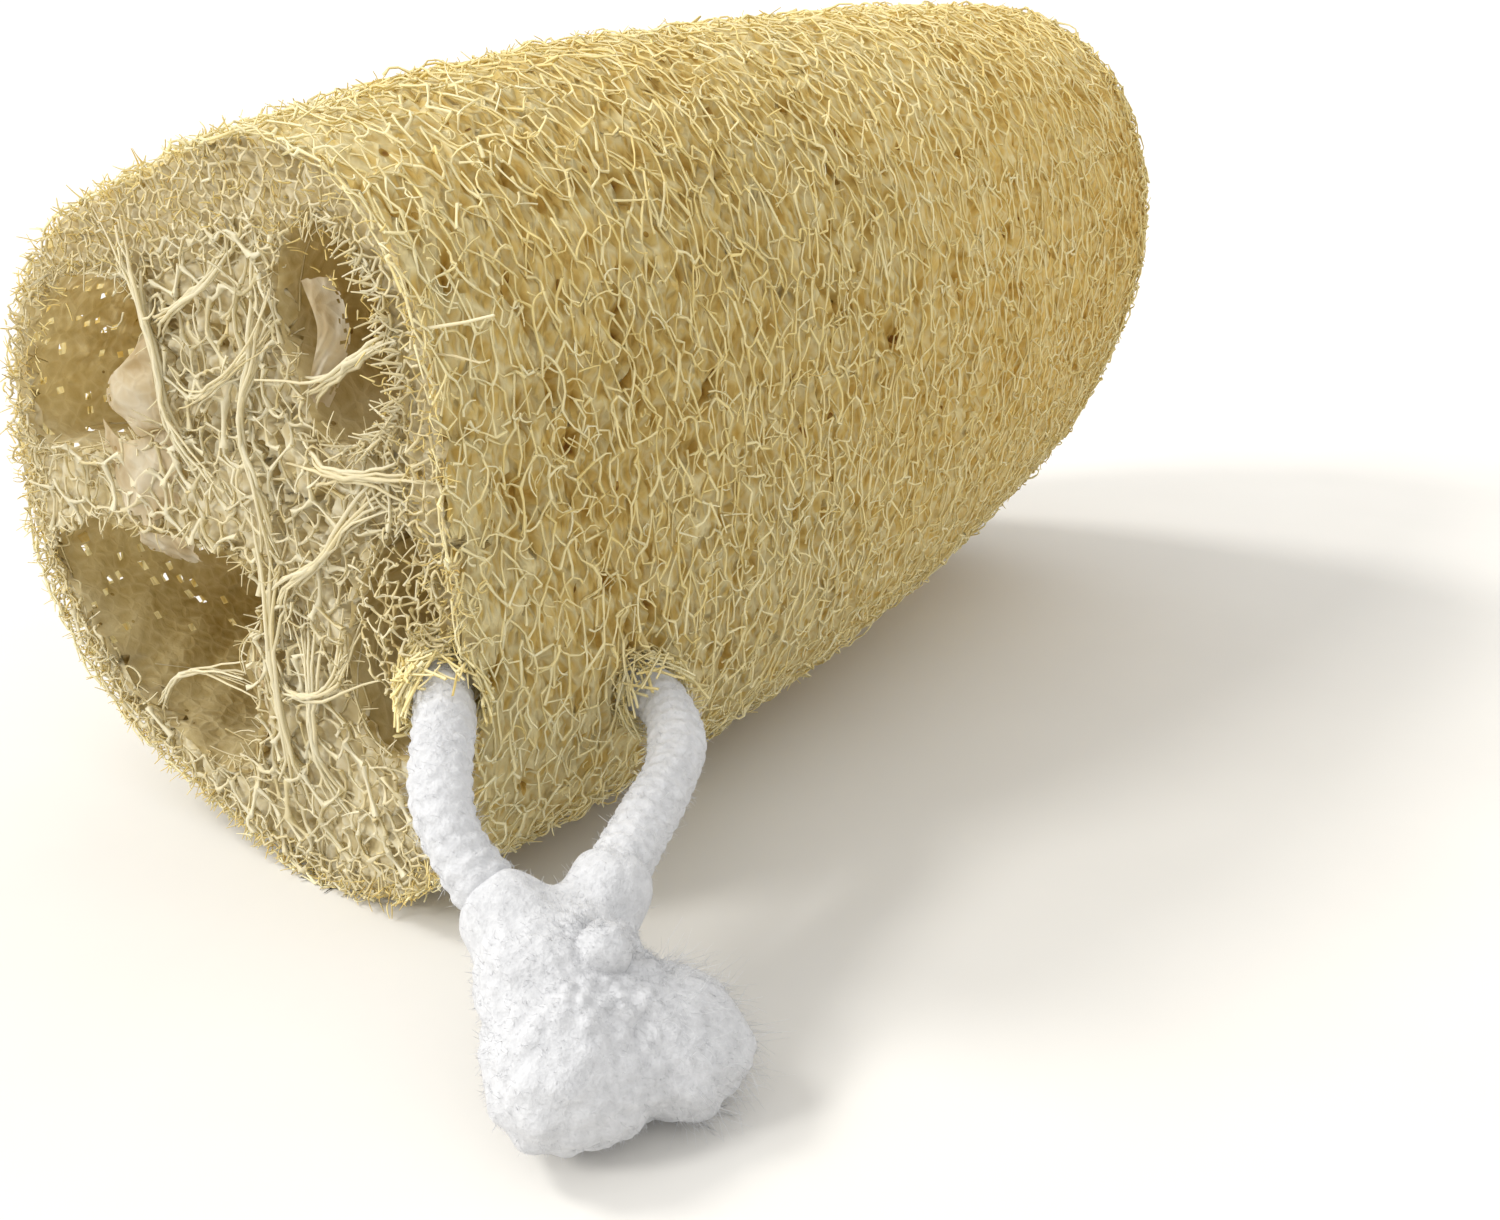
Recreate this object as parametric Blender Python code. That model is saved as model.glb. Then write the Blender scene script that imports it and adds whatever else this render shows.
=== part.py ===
"""Natural loofah sponge with a white cotton hanging loop.

The sponge is one grown body: the dried fibre net of a loofah fruit, cut square at one end, with the
fruit's seed chambers open there and a blunt closed end. A cotton cord runs out of the largest right-hand
chamber, round the cut rim and in again through the side wall, and its two ends are tied in one knot.

Frame: metres, +Z up, the sponge lying on z = 0, +X from the cut end to the closed end.
"""

import math
import random

import bpy
import bmesh
import numpy as np
from mathutils import Vector
from mathutils.geometry import delaunay_2d_cdt

MM = 0.001

# Sponge body
LENGTH = 147 * MM
RADIUS = 38.4 * MM
CUT_X = -72.2 * MM
AXIS_Y = -3.3 * MM
MOUTH_TAPER = 0.09
MOUTH_TAPER_LENGTH = 61 * MM
END_TAPER = 0.13
DOME_LENGTH = 15 * MM
SIDE_BEND = 10 * MM
END_LIFT = 8.5 * MM
LIFT_START = 0.35
CUT_TILT_Y = -0.060
CUT_TILT_Z = 0.047

# Section shape: an oval, plus the three seed chambers' bulges near the cut
CUT_OVAL = 0.040
CUT_OVAL_ANGLE = math.radians(21)
END_OVAL = 0.129
END_OVAL_ANGLE = math.radians(-66)
CHAMBER_BULGE = 0.080
CHAMBER_BULGE_ANGLE = math.radians(-2)
SQUARING = 0.038
SQUARING_ANGLE = math.radians(41)

# Angles round the section's lower half, where its lowest point is looked for
LOW_ANGLES = [math.radians(180 + 3 * i) for i in range(61)]

# Flat spot that the soft body rests on
FLAT_HEIGHT = 2.2 * MM

# Raised net of the skin: lens-shaped cells, longer round the body than along it
NET_COLUMNS = 52
NET_ROWS = 60
RIDGE = 0.5 * MM
PIT = 0.95 * MM
DEEP_PIT = 1.7 * MM
DEEP_PIT_SHARE = 0.06
DOME_NET_SPACING = 3.7 * MM
DOME_DISC_RADIUS = 41 * MM
FACE_NET_SPACING = 2.9 * MM
FACE_RIDGE = 0.7 * MM
FACE_PIT = 2.0 * MM

# Seed chambers: outlines on the cut plane, (y, z) in millimetres, and how deep each runs
CHAMBERS = {
    "upper_left": {
        "outline": [(25, 52), (18.5, 55.5), (11, 56), (6.5, 53.5), (4.5, 48.5), (5, 43), (13, 39.5),
                    (23, 37.5), (29.5, 38.5), (30, 45.5)],
        "depth": 96 * MM,
    },
    "upper_right": {
        "outline": [(-16.5, 61), (-22, 62), (-26.5, 58.5), (-29, 54), (-30, 49.5), (-27, 45.5),
                    (-21, 44), (-17.5, 46.5), (-15.5, 51), (-14.5, 56)],
        "depth": 72 * MM,
    },
    "lower_left": {
        "outline": [(-7.5, 30.5), (-8, 26), (-4.5, 21.5), (-6.5, 16.5), (-4, 11), (2, 8), (10, 10),
                    (17.5, 13.5), (24, 19), (29, 26.5), (21, 31), (12, 31), (3, 32)],
        "depth": 88 * MM,
    },
    "lower_right": {
        "outline": [(-25.5, 36.5), (-29.5, 38.5), (-32, 35), (-32.6, 29), (-32.4, 23.5), (-31, 18.5),
                    (-27, 16.5), (-22.5, 18.5), (-20.5, 24), (-22, 31)],
        "depth": 60 * MM,
    },
}
CHAMBER_RING_DEPTHS = (0.03, 0.09, 0.18, 0.30, 0.44, 0.60, 0.77, 0.92)
CHAMBER_RELIEF = 0.05

# Fibre bundles that stand out of the cut face: each runs between two firm places and bridges a mouth's edge
FACE_BUNDLES = [
    ([(10, 59, -1.5), (5.5, 55, 0.6), (3.2, 49, 0.9), (2.6, 43, 0.6), (0, 37, -1.5)], 1.3 * MM),
    ([(6, 52, -1.5), (1, 53, 0.9), (-5, 56, 0.4), (-10, 62, -1.5)], 0.9 * MM),
    ([(3, 45, -1.5), (-3, 46, 0.8), (-9, 49, 0.9), (-14, 53, -1.0)], 0.9 * MM),
    ([(-9, 33, -1.5), (-11, 38, 0.9), (-9, 44, 0.9), (-11, 50, 0.5), (-12, 58, -1.5)], 1.0 * MM),
    ([(-13.5, 48, -1.5), (-20.5, 49.5, -0.2), (-27, 53, -0.4), (-33, 55, -2.5)], 0.9 * MM),
    ([(-15, 43, -1.5), (-21, 42, 0.9), (-28, 42.5, 0.6), (-33, 43, -1.8)], 1.1 * MM),
    ([(-9, 26, -1.5), (-13, 30, 0.9), (-19, 34, 0.9), (-24, 39, 0.6), (-29, 42, -1.5)], 1.0 * MM),
    ([(-10, 33, -1.5), (-10.5, 24, 0.9), (-11.5, 15, 0.9), (-10, 6, -1.5)], 1.3 * MM),
    ([(-6.5, 22, -1.5), (-13, 20, 0.8), (-19, 22, 0.8), (-21.5, 27, -1.5)], 0.9 * MM),
    ([(-3, 20, -1.5), (3, 18.5, -0.5), (9, 16, -1.0), (17, 9.5, -2.0)], 0.8 * MM),
    ([(-14, 28, -1.5), (-16, 22, 0.8), (-16, 14, 0.7), (-21, 6, -1.5)], 1.0 * MM),
]

# Cord: one loop of soft cotton, from the knot's right side through the wall and the chamber to its left
CORD_DIAMETER = 5 * MM
CORD_CLEARANCE = 0.4 * MM
CORD_ROUTE = [(-70.5, -52, 13.5), (-63, -49, 15.5), (-55, -45, 18), (-51, -38.5, 20), (-53, -30.5, 22),
              (-59.5, -27, 24), (-68, -30, 25.5), (-73, -36, 24.5), (-78, -41.5, 19.5), (-78.5, -48, 14)]
CORD_MID_WALL_Y = -35.5 * MM
TOUCH_GAP = 0.3 * MM

# Knot and the two frayed cord ends
KNOT_CENTRE = Vector((-75.5, -52.8, 9.3)) * MM
KNOT_RADIUS = 4.7 * MM
KNOT_WRAP = 2.6 * MM
SOCKET_DEPTH = 6 * MM
STUB_START = 4.5 * MM
STUB_WIDTH = 4.4 * MM
KNOT_TURNS = [Vector(v).normalized() for v in ((0.9, -0.5, 0.45), (-0.25, 0.75, 0.85), (0.35, 0.9, -0.6))]
TUFT_FOLDS = 9
TUFTS = {
    "frayed_end_front": {"tip": (-86.5, -62.0, 5.2), "width": 6.6 * MM, "seed": 3},
    "frayed_end_right": {"tip": (-73.0, -68.4, 4.2), "width": 5.6 * MM, "seed": 5},
}


def remove_everything():
    for old in list(bpy.data.objects):
        bpy.data.objects.remove(old, do_unlink=True)


def material(name, colour, roughness):
    made = bpy.data.materials.new(name)
    made.use_nodes = True
    shader = made.node_tree.nodes["Principled BSDF"]
    shader.inputs["Base Color"].default_value = (*colour, 1)
    shader.inputs["Roughness"].default_value = roughness
    shader.inputs["Metallic"].default_value = 0
    return made


def mesh_object(name, points, faces, finish):
    mesh = bpy.data.meshes.new(name)
    mesh.from_pydata([tuple(p) for p in points], [], faces)
    work = bmesh.new()
    work.from_mesh(mesh)
    bmesh.ops.triangulate(work, faces=work.faces)
    bmesh.ops.recalc_face_normals(work, faces=work.faces)
    work.to_mesh(mesh)
    work.free()
    mesh.materials.append(finish)
    made = bpy.data.objects.new(name, mesh)
    bpy.context.scene.collection.objects.link(made)
    return made


def combine(target, other, operation):
    """Apply one Boolean to target and remove the other object."""
    step = target.modifiers.new(operation.lower(), "BOOLEAN")
    step.operation = operation
    step.object = other
    step.solver = "EXACT"
    bpy.context.view_layer.update()
    done = bpy.data.meshes.new_from_object(target.evaluated_get(bpy.context.evaluated_depsgraph_get()))
    target.modifiers.remove(step)
    target.data = done
    bpy.data.objects.remove(other, do_unlink=True)


def keep_outer_skin(target):
    """Keep a solid's largest closed skin: this fills any pocket that fusing sealed and drops scraps."""
    work = bmesh.new()
    work.from_mesh(target.data)
    unseen, skins = set(work.faces), []
    while unseen:
        front = [unseen.pop()]
        skin = list(front)
        while front:
            near = [f for edge in front.pop().edges for f in edge.link_faces if f in unseen]
            unseen.difference_update(near)
            near = list(dict.fromkeys(near))
            front += near
            skin += near
        skins.append(skin)
    skins.sort(key=len)
    for skin in skins[:-1]:
        bmesh.ops.delete(work, geom=skin, context="FACES")
    work.to_mesh(target.data)
    work.free()


# Body shape

def section_shape(t, angle):
    """Radius of the section at one angle, as a share of the radius at t."""
    fade = (1 - t) ** 1.5
    return (1 + CUT_OVAL * (1 - t) * math.cos(2 * (angle - CUT_OVAL_ANGLE))
            + END_OVAL * t * math.cos(2 * (angle - END_OVAL_ANGLE))
            + fade * CHAMBER_BULGE * math.cos(3 * (angle - CHAMBER_BULGE_ANGLE))
            + fade * SQUARING * math.cos(4 * (angle - SQUARING_ANGLE)))


def full_radius(t):
    """Radius of the body at t, before its closed end is rounded off."""
    along = t * LENGTH
    if along < MOUTH_TAPER_LENGTH:
        return RADIUS * (1 - MOUTH_TAPER * (1 - along / MOUTH_TAPER_LENGTH) ** 2)
    rest = (along - MOUTH_TAPER_LENGTH) / (LENGTH - MOUTH_TAPER_LENGTH)
    return RADIUS * (1 - END_TAPER * rest ** 2)


def axis_point(t):
    """Centre of the section at t, which keeps the body's lowest line on the floor."""
    lowest = min(section_shape(t, a) * math.sin(a) for a in LOW_ANGLES)
    lift = END_LIFT * (max(t - LIFT_START, 0) / (1 - LIFT_START)) ** 2
    return AXIS_Y + SIDE_BEND * t ** 2, lift - full_radius(t) * lowest


def body_point(t, angle, share=1.0, dome=1.0):
    """A point of the section at t: share 1 is the skin and 0 the axis; dome rounds off the closed end."""
    reach = full_radius(t) * dome * share * section_shape(t, angle)
    y, z = reach * math.cos(angle), reach * math.sin(angle)
    centre_y, centre_z = axis_point(t)
    x = CUT_X + t * LENGTH + (1 - t) ** 4 * (CUT_TILT_Y * y + CUT_TILT_Z * z)
    return Vector((x, centre_y + y, centre_z + z))


DOME_T = 1 - DOME_LENGTH / LENGTH


def dome_point(rho, angle):
    """A point of the blunt end: rho 0 is its pole and 1 the ring where it starts."""
    turn = rho * math.pi / 2
    t = DOME_T + (1 - DOME_T) * max(math.cos(turn), 0) ** (1 / 1.2)
    return body_point(t, angle, 1.0, math.sin(turn) ** (1 / 1.1) if rho > 0 else 0.0)


def raised(point, normal, height):
    """Move a skin point out by height, and press the lowest ones into the flat spot."""
    if point.z < FLAT_HEIGHT:
        return Vector((point.x, point.y, 0))
    moved = point + normal * height
    moved.z = max(moved.z, 0)
    return moved


def normal_at(shape, a, b, step_a, step_b, inside):
    """Outward normal of a two-parameter surface, away from the point called inside."""
    across = shape(a + step_a, b) - shape(a - step_a, b)
    around = shape(a, b + step_b) - shape(a, b - step_b)
    normal = across.cross(around).normalized()
    return normal if normal.dot(shape(a, b) - inside) > 0 else -normal


def net_height(draw, ridge, ridge_height, pit_depth):
    if ridge:
        return ridge_height * draw.uniform(0.6, 1.3)
    if draw.random() < DEEP_PIT_SHARE:
        return -DEEP_PIT
    return -pit_depth * draw.uniform(0.75, 1.2)


# Flat net patches, for the two ends

def inside_loop(point, loop):
    within = False
    for (ax, ay), (bx, by) in zip(loop, loop[1:] + loop[:1]):
        if (ay > point[1]) != (by > point[1]):
            if point[0] < (bx - ax) * (point[1] - ay) / (by - ay) + ax:
                within = not within
    return within


def distance_to_loop(point, loop):
    best = math.inf
    spot = Vector(point)
    for a, b in zip(loop, loop[1:] + loop[:1]):
        start, run = Vector(a), Vector(b) - Vector(a)
        share = min(max((spot - start).dot(run) / run.length_squared, 0), 1)
        best = min(best, (spot - start - run * share).length)
    return best


def honeycomb(outline, holes, spacing, draw):
    """Points of a loose honeycomb inside outline and outside holes: (place, True on a ridge)."""
    low = [min(p[i] for p in outline) for i in (0, 1)]
    high = [max(p[i] for p in outline) for i in (0, 1)]
    row_height = spacing * math.sqrt(3) / 2
    found = []
    for row in range(int((high[1] - low[1]) / row_height) + 2):
        for column in range(int((high[0] - low[0]) / spacing) + 2):
            place = (low[0] + (column + 0.5 * (row % 2)) * spacing + draw.uniform(-0.16, 0.16) * spacing,
                     low[1] + row * row_height + draw.uniform(-0.16, 0.16) * spacing)
            if not inside_loop(place, outline) or distance_to_loop(place, outline) < 0.55 * spacing:
                continue
            if any(inside_loop(place, hole) or distance_to_loop(place, hole) < 0.5 * spacing
                   for hole in holes):
                continue
            found.append((place, (column - row // 2 - row) % 3 != 0))
    return found


def triangles_between(outline, holes, inner):
    """Triangles over outline minus holes, as indices into outline + holes + inner."""
    points, edges = [], []
    for loop in [outline] + holes:
        first = len(points)
        points += loop
        edges += [(first + i, first + (i + 1) % len(loop)) for i in range(len(loop))]
    points += inner
    made = delaunay_2d_cdt([Vector(p) for p in points], edges, [], 0, 1e-9)
    source = [origins[0] for origins in made[3]]
    kept = []
    for face in made[2]:
        corners = [source[i] for i in face]
        middle = tuple(sum(points[i][axis] for i in corners) / 3 for axis in (0, 1))
        if inside_loop(middle, outline) and not any(inside_loop(middle, hole) for hole in holes):
            kept.append(corners)
    return kept


# Chambers

def closed_curve(points, count):
    """Evenly spaced points on a smooth closed curve through the given ones."""
    samples = []
    size = len(points)
    for i in range(size):
        p0, p1, p2, p3 = (np.array(points[(i + k - 1) % size], float) for k in range(4))
        for u in np.linspace(0, 1, 12, endpoint=False):
            samples.append(0.5 * (2 * p1 + (p2 - p0) * u + (2 * p0 - 5 * p1 + 4 * p2 - p3) * u * u
                                  + (3 * p1 - p0 - 3 * p2 + p3) * u ** 3))
    samples = np.array(samples + samples[:1])
    run = np.concatenate([[0], np.cumsum(np.linalg.norm(np.diff(samples, axis=0), axis=1))])
    steps = np.linspace(0, run[-1], count, endpoint=False)
    return [(float(np.interp(s, run, samples[:, 0])), float(np.interp(s, run, samples[:, 1])))
            for s in steps]


def body_share(y, z):
    """A place on the cut plane, as (share, angle) of the body's own section."""
    centre_y, centre_z = axis_point(0)
    angle = math.atan2(z - centre_z, y - centre_y)
    reach = math.hypot(z - centre_z, y - centre_y)
    return reach / (full_radius(0) * section_shape(0, angle)), angle


def chamber_rings(outline, depth):
    """Rings of a chamber from just inside its mouth to its rounded bottom, and its bottom point."""
    places = [(share * math.cos(a), share * math.sin(a)) for share, a in
              (body_share(y * MM, z * MM) for y, z in outline)]
    middle = [sum(p[i] for p in places) / len(places) for i in (0, 1)]
    rings = []
    for k, part in enumerate(CHAMBER_RING_DEPTHS):
        width = math.sqrt(max(1 - part ** 3, 0.0)) * (1 + 0.06 * math.sin(math.pi * min(part * 2, 1)))
        ring = []
        for j, place in enumerate(places):
            size = width * (1 + CHAMBER_RELIEF * (-1 if (j + k) % 2 else 0.4))
            y = middle[0] + (place[0] - middle[0]) * size
            z = middle[1] + (place[1] - middle[1]) * size
            ring.append(body_point(part * depth / LENGTH, math.atan2(z, y), math.hypot(y, z)))
        rings.append(ring)
    end = body_point(depth / LENGTH, math.atan2(middle[1], middle[0]), math.hypot(*middle))
    return rings, end


# Sponge

def strip_faces(lower, upper, odd_first):
    """Triangles between two rings of indices, each square split along its raised corners."""
    faces = []
    size = len(lower)
    for j in range(size):
        a, b = lower[j], lower[(j + 1) % size]
        c, d = upper[(j + 1) % size], upper[j]
        if (j % 2 == 0) != odd_first:
            faces += [(a, b, c), (a, c, d)]
        else:
            faces += [(a, b, d), (b, c, d)]
    return faces


def sponge_body(finish):
    draw = random.Random(7)
    points, faces = [], []
    turn = 2 * math.pi / NET_COLUMNS

    def add(point):
        points.append(point)
        return len(points) - 1

    rings = []
    for i in range(NET_ROWS + 1):
        ring = []
        for j in range(NET_COLUMNS):
            inner_row = 0 < i < NET_ROWS
            t = DOME_T * (i + (draw.uniform(-0.3, 0.3) if inner_row else 0)) / NET_ROWS
            angle = turn * (j + (draw.uniform(-0.22, 0.22) if inner_row else 0))
            height = net_height(draw, (i + j) % 2 == 0, RIDGE, PIT)
            centre_y, centre_z = axis_point(t)
            inside = Vector((CUT_X + t * LENGTH, centre_y, centre_z))
            normal = normal_at(body_point, max(t, 0.002), angle, 0.002, 0.02, inside)
            ring.append(add(raised(body_point(t, angle), normal, height)))
        rings.append(ring)
    for i in range(NET_ROWS):
        faces += strip_faces(rings[i], rings[i + 1], i % 2 == 1)

    disc_outline = [(DOME_DISC_RADIUS * math.cos(turn * j), DOME_DISC_RADIUS * math.sin(turn * j))
                    for j in range(NET_COLUMNS)]
    disc_net = honeycomb(disc_outline, [], DOME_NET_SPACING, draw)
    indices = list(rings[-1])
    core_y, core_z = axis_point(DOME_T)
    core = Vector((CUT_X + DOME_T * LENGTH - RADIUS, core_y, core_z))
    for (u, v), ridge in disc_net:
        rho, angle = math.hypot(u, v) / DOME_DISC_RADIUS, math.atan2(v, u)
        normal = normal_at(dome_point, max(rho, 0.05), angle, 0.01, 0.05, core)
        height = net_height(draw, ridge, RIDGE, PIT)
        indices.append(add(raised(dome_point(rho, angle), normal, height)))
    for corners in triangles_between(disc_outline, [], [place for place, _ in disc_net]):
        faces.append(tuple(indices[i] for i in corners))

    face_outline = [(points[i].y, points[i].z) for i in rings[0]]
    mouths, holes = [], []
    for chamber in CHAMBERS.values():
        outline = closed_curve(chamber["outline"], 14)
        mouths.append((outline, chamber["depth"]))
        holes.append([(y * MM, z * MM) for y, z in outline])
    centre_y, centre_z = axis_point(0)

    def face_point(y, z, height):
        x = CUT_X + CUT_TILT_Y * (y - centre_y) + CUT_TILT_Z * (z - centre_z)
        return Vector((x - height, y, z))

    face_net = honeycomb(face_outline, holes, FACE_NET_SPACING, draw)
    indices = list(rings[0])
    for hole, (outline, depth) in zip(holes, mouths):
        first = len(points)
        for y, z in hole:
            indices.append(add(face_point(y, z, FACE_RIDGE * draw.uniform(0.2, 1.4))))
        ring = list(range(first, first + len(hole)))
        rings_in, end = chamber_rings(outline, depth)
        for k, ring_points in enumerate(rings_in):
            deeper = [add(point) for point in ring_points]
            faces += strip_faces(ring, deeper, k % 2 == 1)
            ring = deeper
        tip = add(end)
        faces += [(ring[j], ring[(j + 1) % len(ring)], tip) for j in range(len(ring))]
    for (y, z), ridge in face_net:
        height = net_height(draw, ridge, FACE_RIDGE, FACE_PIT)
        indices.append(add(face_point(y, z, height)))
    for corners in triangles_between(face_outline, holes, [place for place, _ in face_net]):
        faces.append(tuple(indices[i] for i in corners))
    return mesh_object("sponge", points, faces, finish)


# Cord

def cord_curve(count):
    """Points on a natural cubic spline through the route, and the distance along it."""
    route = np.array(CORD_ROUTE, float) * MM
    knots = np.concatenate([[0], np.cumsum(np.linalg.norm(np.diff(route, axis=0), axis=1))])
    gap = np.diff(knots)
    size = len(route)
    system, right = np.eye(size), np.zeros((size, 3))
    for i in range(1, size - 1):
        system[i, i - 1:i + 2] = gap[i - 1], 2 * (gap[i - 1] + gap[i]), gap[i]
        right[i] = 6 * ((route[i + 1] - route[i]) / gap[i] - (route[i] - route[i - 1]) / gap[i - 1])
    bend = np.linalg.solve(system, right)
    line = []
    for s in np.linspace(0, knots[-1], count):
        i = min(int(np.searchsorted(knots, s, side="right")) - 1, size - 2)
        a, b = knots[i + 1] - s, s - knots[i]
        line.append((bend[i] * a ** 3 + bend[i + 1] * b ** 3) / (6 * gap[i])
                    + (route[i] / gap[i] - bend[i] * gap[i] / 6) * a
                    + (route[i + 1] / gap[i] - bend[i + 1] * gap[i] / 6) * b)
    line = np.array(line)
    return line, np.concatenate([[0], np.cumsum(np.linalg.norm(np.diff(line, axis=0), axis=1))])


def tube(name, line, diameter, finish, sides=12):
    curve = bpy.data.curves.new(name, "CURVE")
    curve.dimensions = "3D"
    curve.bevel_depth = diameter / 2
    curve.bevel_resolution = sides // 2 - 2
    curve.use_fill_caps = True
    spline = curve.splines.new("POLY")
    spline.points.add(len(line) - 1)
    for spot, place in zip(spline.points, line):
        spot.co = (*place, 1)
    curve.materials.append(finish)
    made = bpy.data.objects.new(name, curve)
    bpy.context.scene.collection.objects.link(made)
    return made


def as_mesh(made):
    """Turn a tube into a mesh object, so that a Boolean can use it."""
    name = made.name
    solid = bpy.data.meshes.new_from_object(made.evaluated_get(bpy.context.evaluated_depsgraph_get()))
    bpy.data.objects.remove(made, do_unlink=True)
    made = bpy.data.objects.new(name, solid)
    bpy.context.scene.collection.objects.link(made)
    return made


def stretch(line, run, start, end, pitch):
    """Points of the cord between two distances along it, about one pitch apart.

    A point close to each end keeps the end faces square to the cord."""
    count = max(int(round((end - start) / pitch)), 2) + 1
    square = 0.1 * CORD_DIAMETER
    steps = np.concatenate([[start], np.linspace(start + square, end - square, count), [end]])
    return [tuple(np.interp(s, run, line[:, i]) for i in range(3)) for s in steps]


def grid_solid(name, rings, start, end, finish):
    """Closed solid from rings of points, with a point closing it at each end."""
    points = [start] + [place for ring in rings for place in ring] + [end]
    size = len(rings[0])
    faces = [(0, 1 + (j + 1) % size, 1 + j) for j in range(size)]
    for i in range(len(rings) - 1):
        lower = [1 + i * size + j for j in range(size)]
        upper = [1 + (i + 1) * size + j for j in range(size)]
        faces += strip_faces(lower, upper, i % 2 == 1)
    last = 1 + (len(rings) - 1) * size
    faces += [(last + j, last + (j + 1) % size, len(points) - 1) for j in range(size)]
    made = mesh_object(name, points, faces, finish)
    made.data.shade_smooth()
    return made


def knot_reach(direction):
    """Radius of the knot's lump along a direction: a core with three crossing turns of cord on it."""
    wrap = 0.0
    for lean in KNOT_TURNS:
        offset = abs(direction.dot(lean)) * KNOT_RADIUS / (CORD_DIAMETER / 2)
        wrap = max(wrap, math.sqrt(max(1 - offset ** 2, 0)))
    return KNOT_RADIUS + KNOT_WRAP * wrap


def knot(name, finish):
    columns, rows = 28, 15

    def spot(row, column):
        polar, turn = math.pi * row / (rows + 1), 2 * math.pi * column / columns
        direction = Vector((math.sin(polar) * math.cos(turn), math.sin(polar) * math.sin(turn),
                            math.cos(polar)))
        return KNOT_CENTRE + direction * knot_reach(direction)

    rings = [[spot(row, column) for column in range(columns)] for row in range(1, rows + 1)]
    return grid_solid(name, rings, spot(0, 0), spot(rows + 1, 0), finish)


def tuft(name, tip, width, finish, seed):
    """A frayed cord end: it leaves the knot as thick as the cord, fans out and lies on the floor."""
    draw = random.Random(seed)
    columns, rows = 2 * TUFT_FOLDS, 8
    direction = (tip - KNOT_CENTRE).normalized()
    root = KNOT_CENTRE + direction * STUB_START
    mouth = KNOT_CENTRE + direction * (KNOT_RADIUS + KNOT_WRAP)
    along = tip - mouth
    side = along.cross(Vector((0, 0, 1))).normalized()
    above = side.cross(along).normalized()
    stub = STUB_WIDTH / 2

    def around(j, spread):
        turn = 2 * math.pi * j / columns
        return (side * math.cos(turn) + above * 0.8 * math.sin(turn)) * spread

    rings = [[root + around(j, stub) for j in range(columns)]]
    for i in range(rows):
        share = i / (rows - 1)
        spread = stub + (width - stub) * math.sin(min(share / 0.55, 1) * math.pi / 2)
        spread *= math.sqrt(1 - 0.9 * max(share - 0.5, 0) / 0.5 * max(share - 0.5, 0) / 0.5)
        ring = []
        for j in range(columns):
            fold = 1 + (0.16 if j % 2 else -0.1) * share + draw.uniform(-0.05, 0.05) * min(share * 4, 1)
            place = mouth + along * (share + (0.05 if j % 2 else -0.02) * share) + around(j, spread * fold)
            ring.append(Vector((place.x, place.y, max(place.z, 0.0))))
        rings.append(ring)
    made = grid_solid(name, rings, root, mouth + along * 1.04, finish)
    socket = tube("socket", [root - direction * TOUCH_GAP, mouth, tip], STUB_WIDTH + 2 * TOUCH_GAP, finish)
    combine(cord_knot, as_mesh(socket), "DIFFERENCE")
    return made


def fibre(name, path, radius, finish):
    """A thick fibre bundle of the cut face: path holds (y, z, height above the cut plane) in mm."""
    centre_y, centre_z = axis_point(0)
    line = []
    for y, z, height in path:
        y, z = y * MM, z * MM
        x = CUT_X + CUT_TILT_Y * (y - centre_y) + CUT_TILT_Z * (z - centre_z)
        line.append((x - height * MM, y, z))
    return as_mesh(tube(name, line, 2 * radius, finish, sides=6))


remove_everything()
FIBRE = material("loofah_fibre", (0.76, 0.62, 0.36), 0.85)
COTTON = material("white_cotton", (0.86, 0.86, 0.88), 0.9)

sponge = sponge_body(FIBRE)
bundles = [fibre(f"bundle_{n}", path, radius, FIBRE) for n, (path, radius) in enumerate(FACE_BUNDLES)]
for bundle in bundles:
    combine(sponge, bundle, "UNION")
keep_outer_skin(sponge)

cord_line, cord_run = cord_curve(400)
wall_at = next(s for s, place in zip(cord_run, cord_line) if place[1] > CORD_MID_WALL_Y)
cord_end = cord_run[-1]
cord_path = stretch(cord_line, cord_run, wall_at - 8 * MM, cord_end - 12 * MM, CORD_DIAMETER)
path_cutter = as_mesh(tube("cord_path", cord_path, CORD_DIAMETER + 2 * CORD_CLEARANCE, COTTON))
combine(sponge, path_cutter, "DIFFERENCE")

outer = stretch(cord_line, cord_run, 2 * TOUCH_GAP, wall_at - TOUCH_GAP / 2, CORD_DIAMETER)
inner = stretch(cord_line, cord_run, wall_at + TOUCH_GAP / 2, cord_end - 2 * TOUCH_GAP, CORD_DIAMETER)
tube("cord_outer_strand", outer, CORD_DIAMETER, COTTON)
tube("cord_inner_strand", inner, CORD_DIAMETER, COTTON)

cord_knot = knot("cord_knot", COTTON)
for start, end in ((TOUCH_GAP, SOCKET_DEPTH), (cord_end - SOCKET_DEPTH, cord_end - TOUCH_GAP)):
    socket = tube("socket", stretch(cord_line, cord_run, start, end, CORD_DIAMETER),
                  CORD_DIAMETER + 2 * TOUCH_GAP, COTTON)
    combine(cord_knot, as_mesh(socket), "DIFFERENCE")
for name, values in TUFTS.items():
    tuft(name, Vector(values["tip"]) * MM, values["width"], COTTON, values["seed"])
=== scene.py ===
"""Natural loofah sponge with a white cotton hanging loop: the looks.

The sponge is a felt of plant fibres: nets in layers over a golden wall, with a web of ridges, membranes and
branches across the cut end and open seed chambers behind it. The loop is a soft cotton cord, tied in a knot
whose two ends are frayed. Shapes are worked out in millimetres and turned into metres when a mesh is made.
"""

import math

import bpy
import numpy as np
from mathutils import Matrix, Vector
from mathutils.geometry import delaunay_2d_cdt


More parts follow.
